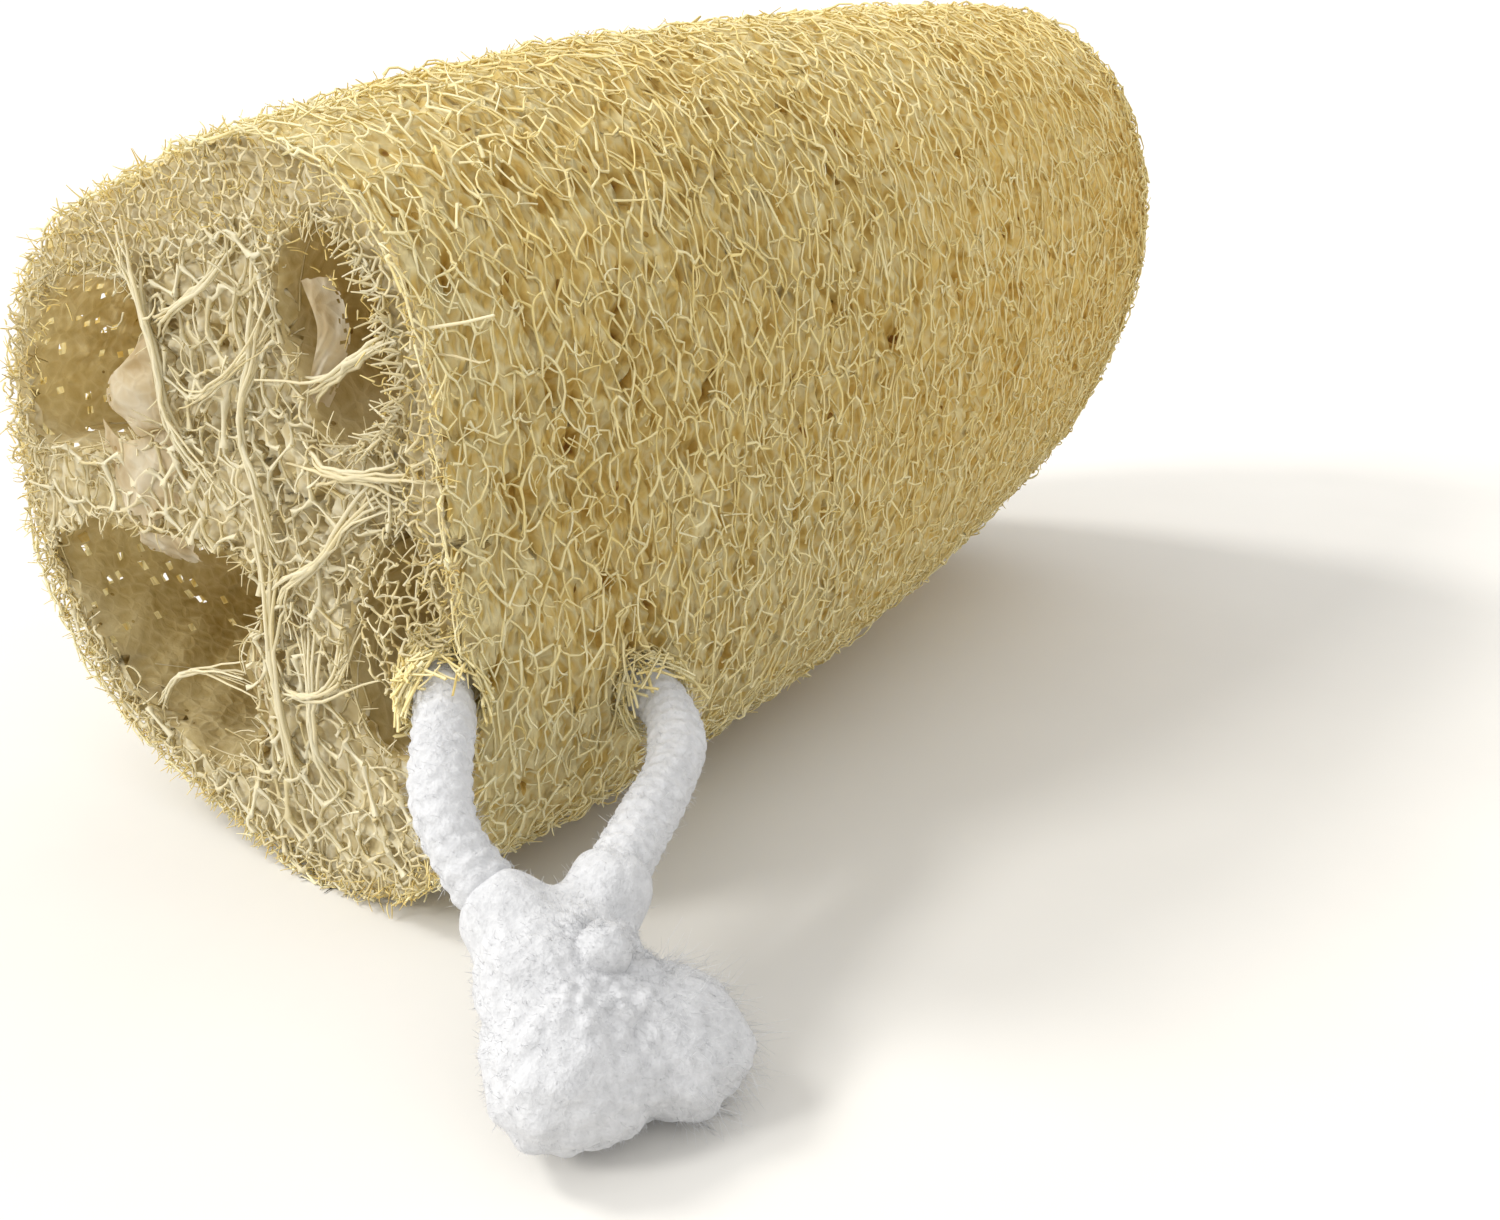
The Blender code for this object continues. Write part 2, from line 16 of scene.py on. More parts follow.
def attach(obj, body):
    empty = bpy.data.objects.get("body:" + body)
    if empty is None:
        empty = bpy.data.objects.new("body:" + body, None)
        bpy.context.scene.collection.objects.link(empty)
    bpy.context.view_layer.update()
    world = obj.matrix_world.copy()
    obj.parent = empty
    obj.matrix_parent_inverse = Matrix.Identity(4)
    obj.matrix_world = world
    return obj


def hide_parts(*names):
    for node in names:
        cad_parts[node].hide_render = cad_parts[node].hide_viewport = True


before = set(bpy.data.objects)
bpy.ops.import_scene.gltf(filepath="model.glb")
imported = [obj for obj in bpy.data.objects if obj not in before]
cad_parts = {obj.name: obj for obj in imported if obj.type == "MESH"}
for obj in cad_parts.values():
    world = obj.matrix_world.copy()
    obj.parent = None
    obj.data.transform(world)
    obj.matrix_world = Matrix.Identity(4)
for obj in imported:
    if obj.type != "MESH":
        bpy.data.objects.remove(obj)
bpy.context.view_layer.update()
MM = 0.001
FULL_TURN = 2 * math.pi

# Seeds of the random draws
SEEDS = {"skin": 3, "dome": 4, "cord": 5, "wisps": 6, "mass": 8, "web": 9, "bed": 12, "nets": 13, "rim": 14,
         "branches": 15, "membranes": 16, "mouth": 17, "collars": 18, "chambers": 30}


def seeded(name, step=0):
    return np.random.default_rng(SEEDS[name] + step)



# Camera, at the photograph's place
CAMERA_PLACE = (-137.69, -123.89, 71.45)
CAMERA_RIGHT = (0.65924, -0.75192, -0.00360)
CAMERA_UP = (0.30801, 0.26567, 0.91354)
CAMERA_FORWARD = (0.68595, 0.60335, -0.40674)
CAMERA_LENS = 34.17
CAMERA_SENSOR = 36
CAMERA_SHIFT = (0.01414, 0.07379)
CAMERA_NEAR = 0.001

# Sponge body, as in the solids
LENGTH = 147.0
RADIUS = 38.4
CUT_X = -72.2
AXIS_Y = -3.3
MOUTH_TAPER = 0.09
MOUTH_TAPER_LENGTH = 61.0
END_TAPER = 0.13
DOME_LENGTH = 15.0
DOME_REACH = 41.0
DOME_POWER_ALONG = 1 / 1.2
DOME_POWER_ROUND = 1 / 1.1
SIDE_BEND = 10.0
END_LIFT = 8.5
LIFT_START = 0.35
CUT_TILT_Y = -0.060
CUT_TILT_Z = 0.047
CUT_OVAL = 0.040
CUT_OVAL_ANGLE = math.radians(21)
END_OVAL = 0.129
END_OVAL_ANGLE = math.radians(-66)
CHAMBER_BULGE = 0.080
CHAMBER_BULGE_ANGLE = math.radians(-2)
SQUARING = 0.038
SQUARING_ANGLE = math.radians(41)
SIDE_LENGTH = LENGTH - DOME_LENGTH
DOME_T = SIDE_LENGTH / LENGTH
FLOOR_GAP = 0.12

# Mean radius of the skin, by which fibres are spaced round it
SKIN_RADIUS = 37.0
# How far apart, in mm along the body and in radians round it, the skin's slope is taken
SLOPE_STEP = 0.4
SLOPE_TURN = 0.02
# The axis points that the skin faces: from this far before the cut to this far short of the dome
CORE_BEFORE = 5
CORE_SHORT = 25

# Seed chambers: outlines on the cut plane, (y, z), and how deep each runs
CHAMBERS = {
    "upper_left": ([(25, 52), (18.5, 55.5), (11, 56), (6.5, 53.5), (4.5, 48.5), (5, 43), (13, 39.5),
                    (23, 37.5), (29.5, 38.5), (30, 45.5)], 96.0),
    "upper_right": ([(-16.5, 61), (-22, 62), (-26.5, 58.5), (-29, 54), (-30, 49.5), (-27, 45.5),
                     (-21, 44), (-17.5, 46.5), (-15.5, 51), (-14.5, 56)], 72.0),
    "lower_left": ([(-7.5, 30.5), (-8, 26), (-4.5, 21.5), (-6.5, 16.5), (-4, 11), (2, 8), (10, 10),
                    (17.5, 13.5), (24, 19), (29, 26.5), (21, 31), (12, 31), (3, 32)], 88.0),
    "lower_right": ([(-25.5, 36.5), (-29.5, 38.5), (-32, 35), (-32.6, 29), (-32.4, 23.5), (-31, 18.5),
                     (-27, 16.5), (-22.5, 18.5), (-20.5, 24), (-22, 31)], 60.0),
}

# Thick fibre branches on the cut face: (y, z, height above the cut plane), and the radius
FACE_BUNDLES = [
    ([(10, 59, -1.5), (5.5, 55, 0.6), (3.2, 49, 0.9), (2.6, 43, 0.6), (0, 37, -1.5)], 1.1),
    ([(6, 52, -1.5), (1, 53, 0.9), (-5, 56, 0.4), (-10, 62, -1.5)], 0.8),
    ([(3, 45, -1.5), (-3, 46, 0.8), (-9, 49, 0.9), (-14, 53, -1.0)], 0.8),
    ([(-9, 33, -1.5), (-11, 38, 0.9), (-9, 44, 0.9), (-11, 50, 0.5), (-12, 58, -1.5)], 0.85),
    ([(-13.5, 48, -1.5), (-20.5, 49.5, -0.2), (-27, 53, -0.4), (-33, 55, -2.5)], 0.8),
    ([(-15, 43, -1.5), (-21, 42, 0.9), (-28, 42.5, 0.6), (-33, 43, -1.8)], 0.95),
    ([(-9, 26, -1.5), (-13, 30, 0.9), (-19, 34, 0.9), (-24, 39, 0.6), (-29, 42, -1.5)], 0.85),
    ([(-10, 33, -1.5), (-10.5, 24, 0.9), (-11.5, 15, 0.9), (-10, 6, -1.5)], 1.1),
    ([(-6.5, 22, -1.5), (-13, 20, 0.8), (-19, 22, 0.8), (-21.5, 27, -1.5)], 0.8),
    ([(-3, 20, -1.5), (3, 18.5, -0.5), (9, 16, -1.0), (17, 9.5, -2.0)], 0.7),
    ([(-14, 28, -1.5), (-16, 22, 0.8), (-16, 14, 0.7), (-21, 6, -1.5)], 0.85),
]

# Cord route, as in the solids: from the knot's right side through the wall and the chamber to its left
CORD_DIAMETER = 5.0
CORD_ROUTE = [(-70.5, -52, 13.5), (-63, -49, 15.5), (-55, -45, 18), (-51, -38.5, 20), (-53, -30.5, 22),
              (-59.5, -27, 24), (-68, -30, 25.5), (-73, -36, 24.5), (-78, -41.5, 19.5), (-78.5, -48, 14)]
CORD_SPLIT = 31.5
CORD_STEP = 0.24
KNIT_AROUND = 42
KNIT_RIBS = 8
STITCH_LENGTH = 1.5
STITCH_HEIGHT = 0.11
RIB_HEIGHT = 0.09
NAP_RADIUS = 0.025


def added(name, data):
    """A new object in the scene."""
    made = bpy.data.objects.new(name, data)
    bpy.context.scene.collection.objects.link(made)
    return made


def place_camera():
    data = bpy.data.cameras.new("camera")
    data.sensor_width = CAMERA_SENSOR
    data.lens = CAMERA_LENS
    data.shift_x, data.shift_y = CAMERA_SHIFT
    data.clip_start = CAMERA_NEAR
    made = added("camera", data)
    axes = zip(CAMERA_RIGHT, CAMERA_UP, [-v for v in CAMERA_FORWARD])
    turn = Matrix([list(row) for row in axes]).to_4x4()
    made.matrix_world = Matrix.Translation(Vector(CAMERA_PLACE) * MM) @ turn
    bpy.context.scene.camera = made


# Materials

def shader_of(name, roughness, specular=0.3):
    made = bpy.data.materials.new(name)
    made.use_nodes = True
    shader = made.node_tree.nodes["Principled BSDF"]
    shader.inputs["Roughness"].default_value = roughness
    shader.inputs["Specular IOR Level"].default_value = specular
    return made, made.node_tree, shader


def attribute(tree, name, output="Fac"):
    node = tree.nodes.new("ShaderNodeAttribute")
    node.attribute_name = name
    return node.outputs[output]


def place_of(tree):
    return tree.nodes.new("ShaderNodeTexCoord").outputs["Object"]


def noise(tree, scale, detail=3.0):
    """A noise texture in the object's own coordinates; scale is waves per metre."""
    texture = tree.nodes.new("ShaderNodeTexNoise")
    texture.inputs["Scale"].default_value = scale
    texture.inputs["Detail"].default_value = detail
    tree.links.new(place_of(tree), texture.inputs["Vector"])
    return texture.outputs["Fac"]


def cells(tree, scale, feature, vector):
    texture = tree.nodes.new("ShaderNodeTexVoronoi")
    texture.feature = feature
    texture.inputs["Scale"].default_value = scale
    tree.links.new(vector, texture.inputs["Vector"])
    return texture.outputs["Distance"]


def maths(tree, operation, first, second):
    node = tree.nodes.new("ShaderNodeMath")
    node.operation = operation
    for socket, value in zip(node.inputs, (first, second)):
        if isinstance(value, (int, float)):
            socket.default_value = value
        else:
            tree.links.new(value, socket)
    return node.outputs[0]


def plus(tree, value, texture, weight):
    """value plus a weighted texture; a negative weight takes it away."""
    return maths(tree, "ADD", value, maths(tree, "MULTIPLY", texture, weight))


def varied(tree, base, texture, amount):
    """base plus a texture that swings by amount to each side."""
    return plus(tree, base, maths(tree, "SUBTRACT", texture, 0.5), 2 * amount)


def netted(tree, value, vector, stray, scale, sway, steep, weight):
    """value lowered by weight inside the cells of a net, whose threads the stray texture bends by sway."""
    edge = plus(tree, cells(tree, scale, "DISTANCE_TO_EDGE", vector), stray, sway)
    floor = maths(tree, "MINIMUM", maths(tree, "MULTIPLY", edge, steep), 1.0)
    return plus(tree, value, floor, -weight)


def pitted(tree, value, vector, scale, size, weight=0.4):
    """value lowered by weight in one small pit of each cell."""
    return plus(tree, value, maths(tree, "LESS_THAN", cells(tree, scale, "F1", vector), size), -weight)


def ramp(tree, factor, stops):
    node = tree.nodes.new("ShaderNodeValToRGB")
    node.color_ramp.elements[0].position = stops[0][0]
    node.color_ramp.elements[0].color = (*stops[0][1], 1)
    node.color_ramp.elements[1].position = stops[-1][0]
    node.color_ramp.elements[1].color = (*stops[-1][1], 1)
    for position, colour in stops[1:-1]:
        node.color_ramp.elements.new(position).color = (*colour, 1)
    tree.links.new(factor, node.inputs["Fac"])
    return node.outputs["Color"]


def bump(tree, shader, height, strength, distance):
    node = tree.nodes.new("ShaderNodeBump")
    node.inputs["Strength"].default_value = strength
    node.inputs["Distance"].default_value = distance
    tree.links.new(height, node.inputs["Height"])
    tree.links.new(node.outputs["Normal"], shader.inputs["Normal"])


def lit_through(tree, shader, colour, share):
    """Mix in light that comes through from behind, as thin dry fibre lets it."""
    behind = tree.nodes.new("ShaderNodeBsdfTranslucent")
    tree.links.new(colour, behind.inputs["Color"])
    mixed = tree.nodes.new("ShaderNodeMixShader")
    mixed.inputs["Fac"].default_value = share
    tree.links.new(shader.outputs["BSDF"], mixed.inputs[1])
    tree.links.new(behind.outputs["BSDF"], mixed.inputs[2])
    tree.links.new(mixed.outputs["Shader"], tree.nodes["Material Output"].inputs["Surface"])


def coloured(tree, shader, factor, stops, share, relief=None):
    """Colour by a factor; share is the light let through, relief a bump's strength and height in metres."""
    colour = ramp(tree, factor, stops)
    tree.links.new(colour, shader.inputs["Base Color"])
    lit_through(tree, shader, colour, share)
    if relief:
        bump(tree, shader, factor, *relief)


def fibre_material(name, stops, share):
    """Dry plant fibre: the tone attribute picks each fibre's shade, and noise varies it along the fibre."""
    made, tree, shader = shader_of(name, roughness=0.6)
    mixed = varied(tree, attribute(tree, "tone"), noise(tree, 160.0), 0.2)
    coloured(tree, shader, mixed, stops, share)
    return made


def felt_material(name, stops, share, roughness=0.7):
    """Matted fibre and seed-chamber skin: shade from the tone attribute, with grain, darker cell floors that
    are partly painted shade, and tiny dark holes painted as shade.
    """
    made, tree, shader = shader_of(name, roughness)
    mixed = varied(tree, attribute(tree, "tone"), noise(tree, 700.0, detail=5.0), 0.22)
    mixed = varied(tree, mixed, noise(tree, 130.0), 0.12)
    mixed = netted(tree, maths(tree, "ADD", mixed, 0.12), place_of(tree), noise(tree, 300.0, detail=2.0),
                   scale=620.0, sway=0.06, steep=3.6, weight=0.17)
    mixed = pitted(tree, mixed, place_of(tree), scale=330.0, size=0.08)
    coloured(tree, shader, mixed, stops, share, relief=(0.8, 0.0006))
    return made


# The wall's two nets of ridges: cells per unit of the flow attribute, steepness and weight, which darkens
# the cells between the ridges, partly golden colour and partly painted shade
WALL_NETS = [(0.62, 3.4, 0.34), (1.15, 3.6, 0.26)]


def wall_material(name, stops, share):
    """The felted wall of the skin: nets of pale ridges along the flow attribute with darker cells between
    them, partly golden colour and partly painted shade, and a few dark holes painted as shade.
    """
    made, tree, shader = shader_of(name, roughness=0.7)
    flow = attribute(tree, "flow", "Vector")
    stray = noise(tree, 260.0, detail=2.0)
    mixed = varied(tree, attribute(tree, "tone"), noise(tree, 600.0, detail=4.0), 0.25)
    mixed = varied(tree, mixed, noise(tree, 90.0), 0.15)
    for scale, steep, weight in WALL_NETS:
        mixed = netted(tree, mixed, flow, stray, scale, 0.04, steep, weight)
    mixed = pitted(tree, mixed, flow, scale=0.4, size=0.1)
    coloured(tree, shader, mixed, stops, share, relief=(1.0, 0.0007))
    return made


def cotton_material(name, shade, light, share):
    made, tree, shader = shader_of(name, roughness=0.85, specular=0.1)
    shader.inputs["Sheen Weight"].default_value = 0.3
    fuzz = plus(tree, noise(tree, 1100.0), noise(tree, 3500.0), 0.4)
    coloured(tree, shader, fuzz, [(0.45, shade), (0.95, light)], share, relief=(0.6, 0.0004))
    return made


# Meshes

def is_cotton(finish):
    return finish in (COTTON, NAP)


def add_mesh(name, points, faces, finish, tone=None, flow=None):
    """One object from points in mm and faces, all of one size, as an array of indices."""
    mesh = bpy.data.meshes.new(name)
    points = np.asarray(points, float).reshape(-1, 3) * MM
    faces = np.asarray(faces, np.int32)
    corners = faces.shape[1]
    mesh.vertices.add(len(points))
    mesh.vertices.foreach_set("co", points.ravel())
    mesh.loops.add(faces.size)
    mesh.loops.foreach_set("vertex_index", faces.ravel())
    mesh.polygons.add(len(faces))
    mesh.polygons.foreach_set("loop_start", np.arange(0, faces.size, corners, dtype=np.int32))
    mesh.polygons.foreach_set("use_smooth", np.ones(len(faces), bool))
    if tone is not None:
        values = np.broadcast_to(np.ravel(tone), (len(points),)).astype(np.float32)
        mesh.attributes.new("tone", "FLOAT", "POINT").data.foreach_set("value", values)
    if flow is not None:
        mesh.attributes.new("flow", "FLOAT_VECTOR", "POINT").data.foreach_set("vector", np.ravel(flow))
    mesh.update(calc_edges=True)
    mesh.materials.append(finish)
    made = added(name, mesh)
    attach(made, "root")
    return made


def unit(vectors):
    return vectors / (np.linalg.norm(vectors, axis=-1, keepdims=True) + 1e-9)


def above_floor(points):
    points[..., 2] = np.maximum(points[..., 2], FLOOR_GAP)
    return points


def shades(draw, mean, spread, count):
    return np.clip(draw.normal(mean, spread, count), 0, 1)


def chunks(places):
    """Places in runs of about 2000, which keeps the tables of distances small."""
    return np.array_split(places, len(places) // 2000 + 1)


def near_cord(points, gap):
    """Which points lie within gap of the cord's centre line."""
    flat = points.reshape(-1, 3)
    beside = ((flat > LINE.min(axis=0) - gap) & (flat < LINE.max(axis=0) + gap)).all(axis=1)
    found = np.zeros(len(flat), bool)
    for some in chunks(np.flatnonzero(beside)):
        found[some] = np.linalg.norm(flat[some, None] - LINE[None, ::6], axis=2).min(axis=1) < gap
    return found.reshape(points.shape[:-1])


def tubes(name, lines, radii, finish, tone, draw, sides=3):
    """Thin tubes in one mesh: lines is (tubes, points, 3), radii (tubes, points), tone one per tube.

    Fibres that would run through the cord are left out.
    """
    tone = np.broadcast_to(tone, (len(lines),))
    if not is_cotton(finish):
        clear = ~near_cord(lines, CORD_DIAMETER / 2 + 0.3).any(axis=1)
        lines, radii, tone = lines[clear], radii[clear], tone[clear]
    count, size = radii.shape
    along = unit(np.gradient(lines, axis=1))
    lean = unit(np.cross(unit(lines[:, -1] - lines[:, 0]), unit(draw.normal(size=(count, 3)))))
    side = unit(np.cross(along, lean[:, None, :]))
    above = np.cross(side, along)
    turns = FULL_TURN * np.arange(sides) / sides
    ring = side[:, :, None] * np.cos(turns)[:, None] + above[:, :, None] * np.sin(turns)[:, None]
    points = above_floor(lines[:, :, None] + ring * radii[:, :, None, None])
    index = np.arange(count * size * sides, dtype=np.int32).reshape(count, size, sides)
    after = np.roll(index, -1, axis=2)
    quads = np.stack([index[:, :-1], after[:, :-1], after[:, 1:], index[:, 1:]], axis=-1)
    return add_mesh(name, points, quads.reshape(-1, 4), finish, np.repeat(tone, size * sides))


def sheet_of(name, grid, finish, keep=None, closed=False, tone=None, flow=None):
    """A surface from a grid of points; keep says which of its cells are there."""
    rows, columns = grid.shape[:2]
    index = np.arange(rows * columns, dtype=np.int32).reshape(rows, columns)
    if closed:
        index = np.concatenate([index, index[:, :1]], axis=1)
    quads = np.stack([index[:-1, :-1], index[:-1, 1:], index[1:, 1:], index[1:, :-1]], axis=-1)
    there = np.ones(quads.shape[:2], bool) if keep is None else keep
    if not is_cotton(finish):
        there = there & ~near_cord(grid, CORD_DIAMETER / 2 + 0.1).ravel()[quads].any(axis=-1)
    return add_mesh(name, grid, quads[there].reshape(-1, 4), finish, tone, flow)


# Body shape

def section_shape(t, angle):
    """Radius of the section at one angle, as a share of the radius at t."""
    fade = (1 - t) ** 1.5
    return (1 + CUT_OVAL * (1 - t) * np.cos(2 * (angle - CUT_OVAL_ANGLE))
            + END_OVAL * t * np.cos(2 * (angle - END_OVAL_ANGLE))
            + fade * CHAMBER_BULGE * np.cos(3 * (angle - CHAMBER_BULGE_ANGLE))
            + fade * SQUARING * np.cos(4 * (angle - SQUARING_ANGLE)))


def full_radius(t):
    """Radius of the body at t, before its closed end is rounded off."""
    along = t * LENGTH
    mouth = 1 - MOUTH_TAPER * np.maximum(1 - along / MOUTH_TAPER_LENGTH, 0) ** 2
    rest = np.maximum(along - MOUTH_TAPER_LENGTH, 0) / (LENGTH - MOUTH_TAPER_LENGTH)
    return RADIUS * mouth * (1 - END_TAPER * rest ** 2)


def axis_line():
    """Centre of the section along the body, which keeps its lowest line on the floor."""
    t = np.linspace(-0.03, 1, 413)
    low = np.radians(180 + 3 * np.arange(61))
    lowest = (section_shape(t[:, None], low[None, :]) * np.sin(low)[None, :]).min(axis=1)
    lift = END_LIFT * (np.maximum(t - LIFT_START, 0) / (1 - LIFT_START)) ** 2
    return t, AXIS_Y + SIDE_BEND * t ** 2, lift - full_radius(t) * lowest


AXIS_T, AXIS_YS, AXIS_ZS = axis_line()


def centre_at(t):
    return np.interp(t, AXIS_T, AXIS_YS), np.interp(t, AXIS_T, AXIS_ZS)


def body_point(t, angle, share, dome=1.0):
    """A point of the section at t: share 1 is the skin and 0 the axis; dome rounds off the closed end."""
    reach = full_radius(t) * dome * share * section_shape(t, angle)
    y, z = reach * np.cos(angle), reach * np.sin(angle)
    x = CUT_X + t * LENGTH + (1 - t) ** 4 * (CUT_TILT_Y * y + CUT_TILT_Z * z)
    centre_y, centre_z = centre_at(t)
    return np.stack(np.broadcast_arrays(x, centre_y + y, centre_z + z), axis=-1)


def skin(p, angle):
    """Skin point at a distance p along the body from the cut, over its blunt end to the pole."""
    rho = np.clip(1 - (p - SIDE_LENGTH) / DOME_REACH, 0, 1)
    turn = rho * math.pi / 2
    on_dome = p > SIDE_LENGTH
    rise = np.maximum(np.cos(turn), 0) ** DOME_POWER_ALONG
    t = np.where(on_dome, DOME_T + (1 - DOME_T) * rise, p / LENGTH)
    dome = np.where(on_dome, np.maximum(np.sin(turn), 1e-4) ** DOME_POWER_ROUND, 1.0)
    return body_point(t, angle, 1.0, dome)


def skin_at(p, angle, depth):
    """Point at a depth under the skin, square to it."""
    p, angle = np.asarray(p, float), np.asarray(angle, float)
    along = skin(p + SLOPE_STEP, angle) - skin(p - SLOPE_STEP, angle)
    around = skin(p, angle + SLOPE_TURN) - skin(p, angle - SLOPE_TURN)
    inward = unit(np.cross(along, around))
    point = skin(p, angle)
    core = np.clip(point[..., 0], CUT_X - CORE_BEFORE, CUT_X + SIDE_LENGTH - CORE_SHORT)
    centre = np.stack([core, *centre_at((core - CUT_X) / LENGTH)], axis=-1)
    inward = inward * np.sign(((centre - point) * inward).sum(-1, keepdims=True))
    return above_floor(point + inward * np.asarray(depth)[..., None])


CENTRE_Y, CENTRE_Z = (float(v) for v in centre_at(0))


def face_point(y, z, height):
    """Point above the cut plane, out of the sponge."""
    y, z = np.asarray(y, float), np.asarray(z, float)
    x = CUT_X + CUT_TILT_Y * (y - CENTRE_Y) + CUT_TILT_Z * (z - CENTRE_Z) - height
    return np.stack(np.broadcast_arrays(x, y, z), axis=-1)


def body_share(y, z, t=0.0):
    """How far out of the section at t a place lies, 1 being the skin, and the angle it lies at."""
    angle = np.arctan2(z - CENTRE_Z, y - CENTRE_Y)
    reach = np.hypot(z - CENTRE_Z, y - CENTRE_Y)
    return reach / (full_radius(t) * section_shape(t, angle)), angle


# Lines and nets

def wander(p, angle):
    """How far the fibres stray along the body from running straight round it."""
    return (1.3 * np.sin(2 * angle + p / 17) + 0.8 * np.sin(5 * angle - p / 9 + 1)
            + 0.5 * np.sin(9 * angle + p / 6 + 2))


def cell_web(u, v, wrap):
    """Voronoi cells one unit across, v wrapping round: nearness to an edge, and a random pair per cell."""
    draw = seeded("web")
    jitter = draw.uniform(0.08, 0.92, (int(u.max()) + 4, wrap, 2))
    values = draw.random((int(u.max()) + 4, wrap, 2))
    iu, iv = np.floor(u).astype(int), np.floor(v).astype(int)
    first, second = np.full(u.shape, 9.0), np.full(u.shape, 9.0)
    pair = np.zeros(u.shape + (2,))
    for du in (-1, 0, 1):
        for dv in (-1, 0, 1):
            a, b = iu + du, iv + dv
            spot = jitter[a + 1, b % wrap]
            away = np.hypot(a + spot[..., 0] - u, b + spot[..., 1] - v)
            nearer = away < first
            second = np.where(nearer, first, np.minimum(second, away))
            pair[nearer] = values[a + 1, b % wrap][nearer]
            first = np.where(nearer, away, first)
    return second - first, pair


def comb(width, height, side, jitter, drop, draw):
    """Nodes and links of a loose honeycomb over a width by height rectangle."""
    columns = int(round(width / (side * math.sqrt(3) / 2) / 2)) * 2
    rows = max(int(height / (1.5 * side)), 2)
    i, j = np.meshgrid(np.arange(columns), np.arange(rows), indexing="ij")
    step = width / columns
    x = (i + draw.uniform(-jitter, jitter, i.shape)) * step
    y = (j * 1.5 + np.where((i + j) % 2, 0.25, -0.25)) * side
    y = y + draw.uniform(-jitter, jitter, i.shape) * side
    node = i * rows + j
    up = ((i + j) % 2 == 1)[:, :-1]
    links = np.concatenate([np.stack([node[:-1].ravel(), node[1:].ravel()], 1),
                            np.stack([node[:, :-1][up], node[:, 1:][up]], 1)])
    links = links[draw.random(len(links)) > drop]
    return x.ravel(), y.ravel(), links


def bent(points, links, size, sag, draw):
    """Lines along links between 3-D points, each bent a little to one side."""
    u = np.linspace(0, 1, size)[:, None]
    a, b = points[links[:, 0]][:, None], points[links[:, 1]][:, None]
    offset = draw.normal(size=(len(links), 1, 3)) * sag
    return a * (1 - u) + b * u + offset * np.sin(math.pi * u)


def waisted(draw, count, size, low, high, waist):
    """Radii of links that are thick where they join and thin between."""
    u = np.linspace(-1, 1, size)
    return draw.uniform(low, high, (count, 1)) * (waist + (1 - waist) * u * u)


def strayed(heading, length):
    """How far the points of each line lie along and across, from its headings and its length."""
    return [length * np.cumsum(way(heading), axis=1) / heading.shape[1] for way in (np.cos, np.sin)]


def lay_net(name, nodes, links, finish, draw, size, sag, thick, waist, shade, spread):
    """A net of bent fibres along links; shade and spread say its tone, which varies by place on the skin,
    painted light low down included.
    """
    lines = bent(nodes, links, size, sag, draw)
    tone = draw.normal(shade, spread, len(links))
    tone = tone_with_painted_light_at(lines[:, 0], tone) if finish == SKIN_FIBRE else np.clip(tone, 0, 1)
    tubes(name, lines, waisted(draw, len(links), size, *thick, waist), finish, tone, draw)


def hairs(name, roots, out, draw, length, radius, finish, lay, size=3, shade=0.6):
    """Short bent hairs: each leaves its root along out, turned by lay, and curls."""
    count = len(roots)
    lean = unit(out + lay * draw.normal(size=(count, 3)))
    curl = unit(draw.normal(size=(count, 3)))
    u = np.linspace(0, 1, size)[None, :, None]
    reach = draw.uniform(0.45, 1.0, (count, 1, 1)) * length
    lines = roots[:, None] + reach * (lean[:, None] * u + 0.5 * curl[:, None] * u * u)
    taper = np.linspace(1, 0.45, size)[None, :] * draw.uniform(0.7, 1.2, (count, 1)) * radius
    return tubes(name, lines, taper, finish, shades(draw, shade, 0.12, count), draw)


def inside(points, loop):
    """Which of the (y, z) points lie inside a closed loop."""
    y, z = points[:, 0], points[:, 1]
    within = np.zeros(len(points), bool)
    for (ay, az), (by, bz) in zip(loop, np.roll(loop, -1, axis=0)):
        if az != bz:
            crosses = (az > z) != (bz > z)
            within ^= crosses & (y < (by - ay) * (z - az) / (bz - az) + ay)
    return within


def outside(points, loops):
    return ~np.any([inside(points, loop) for loop in loops], axis=0)


def run_of(line):
    """Distance along a line at each of its points."""
    return np.concatenate([[0], np.cumsum(np.linalg.norm(np.diff(line, axis=0), axis=1))])


def points_at(marks, line, run):
    """Points of a line at given distances along it."""
    return np.stack([np.interp(marks, run, column) for column in line.T], axis=1)


def spline(points, count, closed=False):
    """Evenly spaced points on a smooth curve through the given ones."""
    points = np.array(points, float)
    size = len(points)
    if closed:
        ends = points[np.arange(-1, size + 2) % size]
    else:
        ends = np.concatenate([[2 * points[0] - points[1]], points, [2 * points[-1] - points[-2]]])
    u = np.linspace(0, 1, 12, endpoint=False)[:, None]
    samples = []
    for i in range(len(ends) - 3):
        p0, p1, p2, p3 = ends[i:i + 4]
        samples.append(0.5 * (2 * p1 + (p2 - p0) * u + (2 * p0 - 5 * p1 + 4 * p2 - p3) * u ** 2
                              + (3 * p1 - p0 - 3 * p2 + p3) * u ** 3))
    samples = np.concatenate(samples + [ends[-2:-1]])
    run = run_of(samples)
    return points_at(np.linspace(0, run[-1], count, endpoint=not closed), samples, run)


# Cord

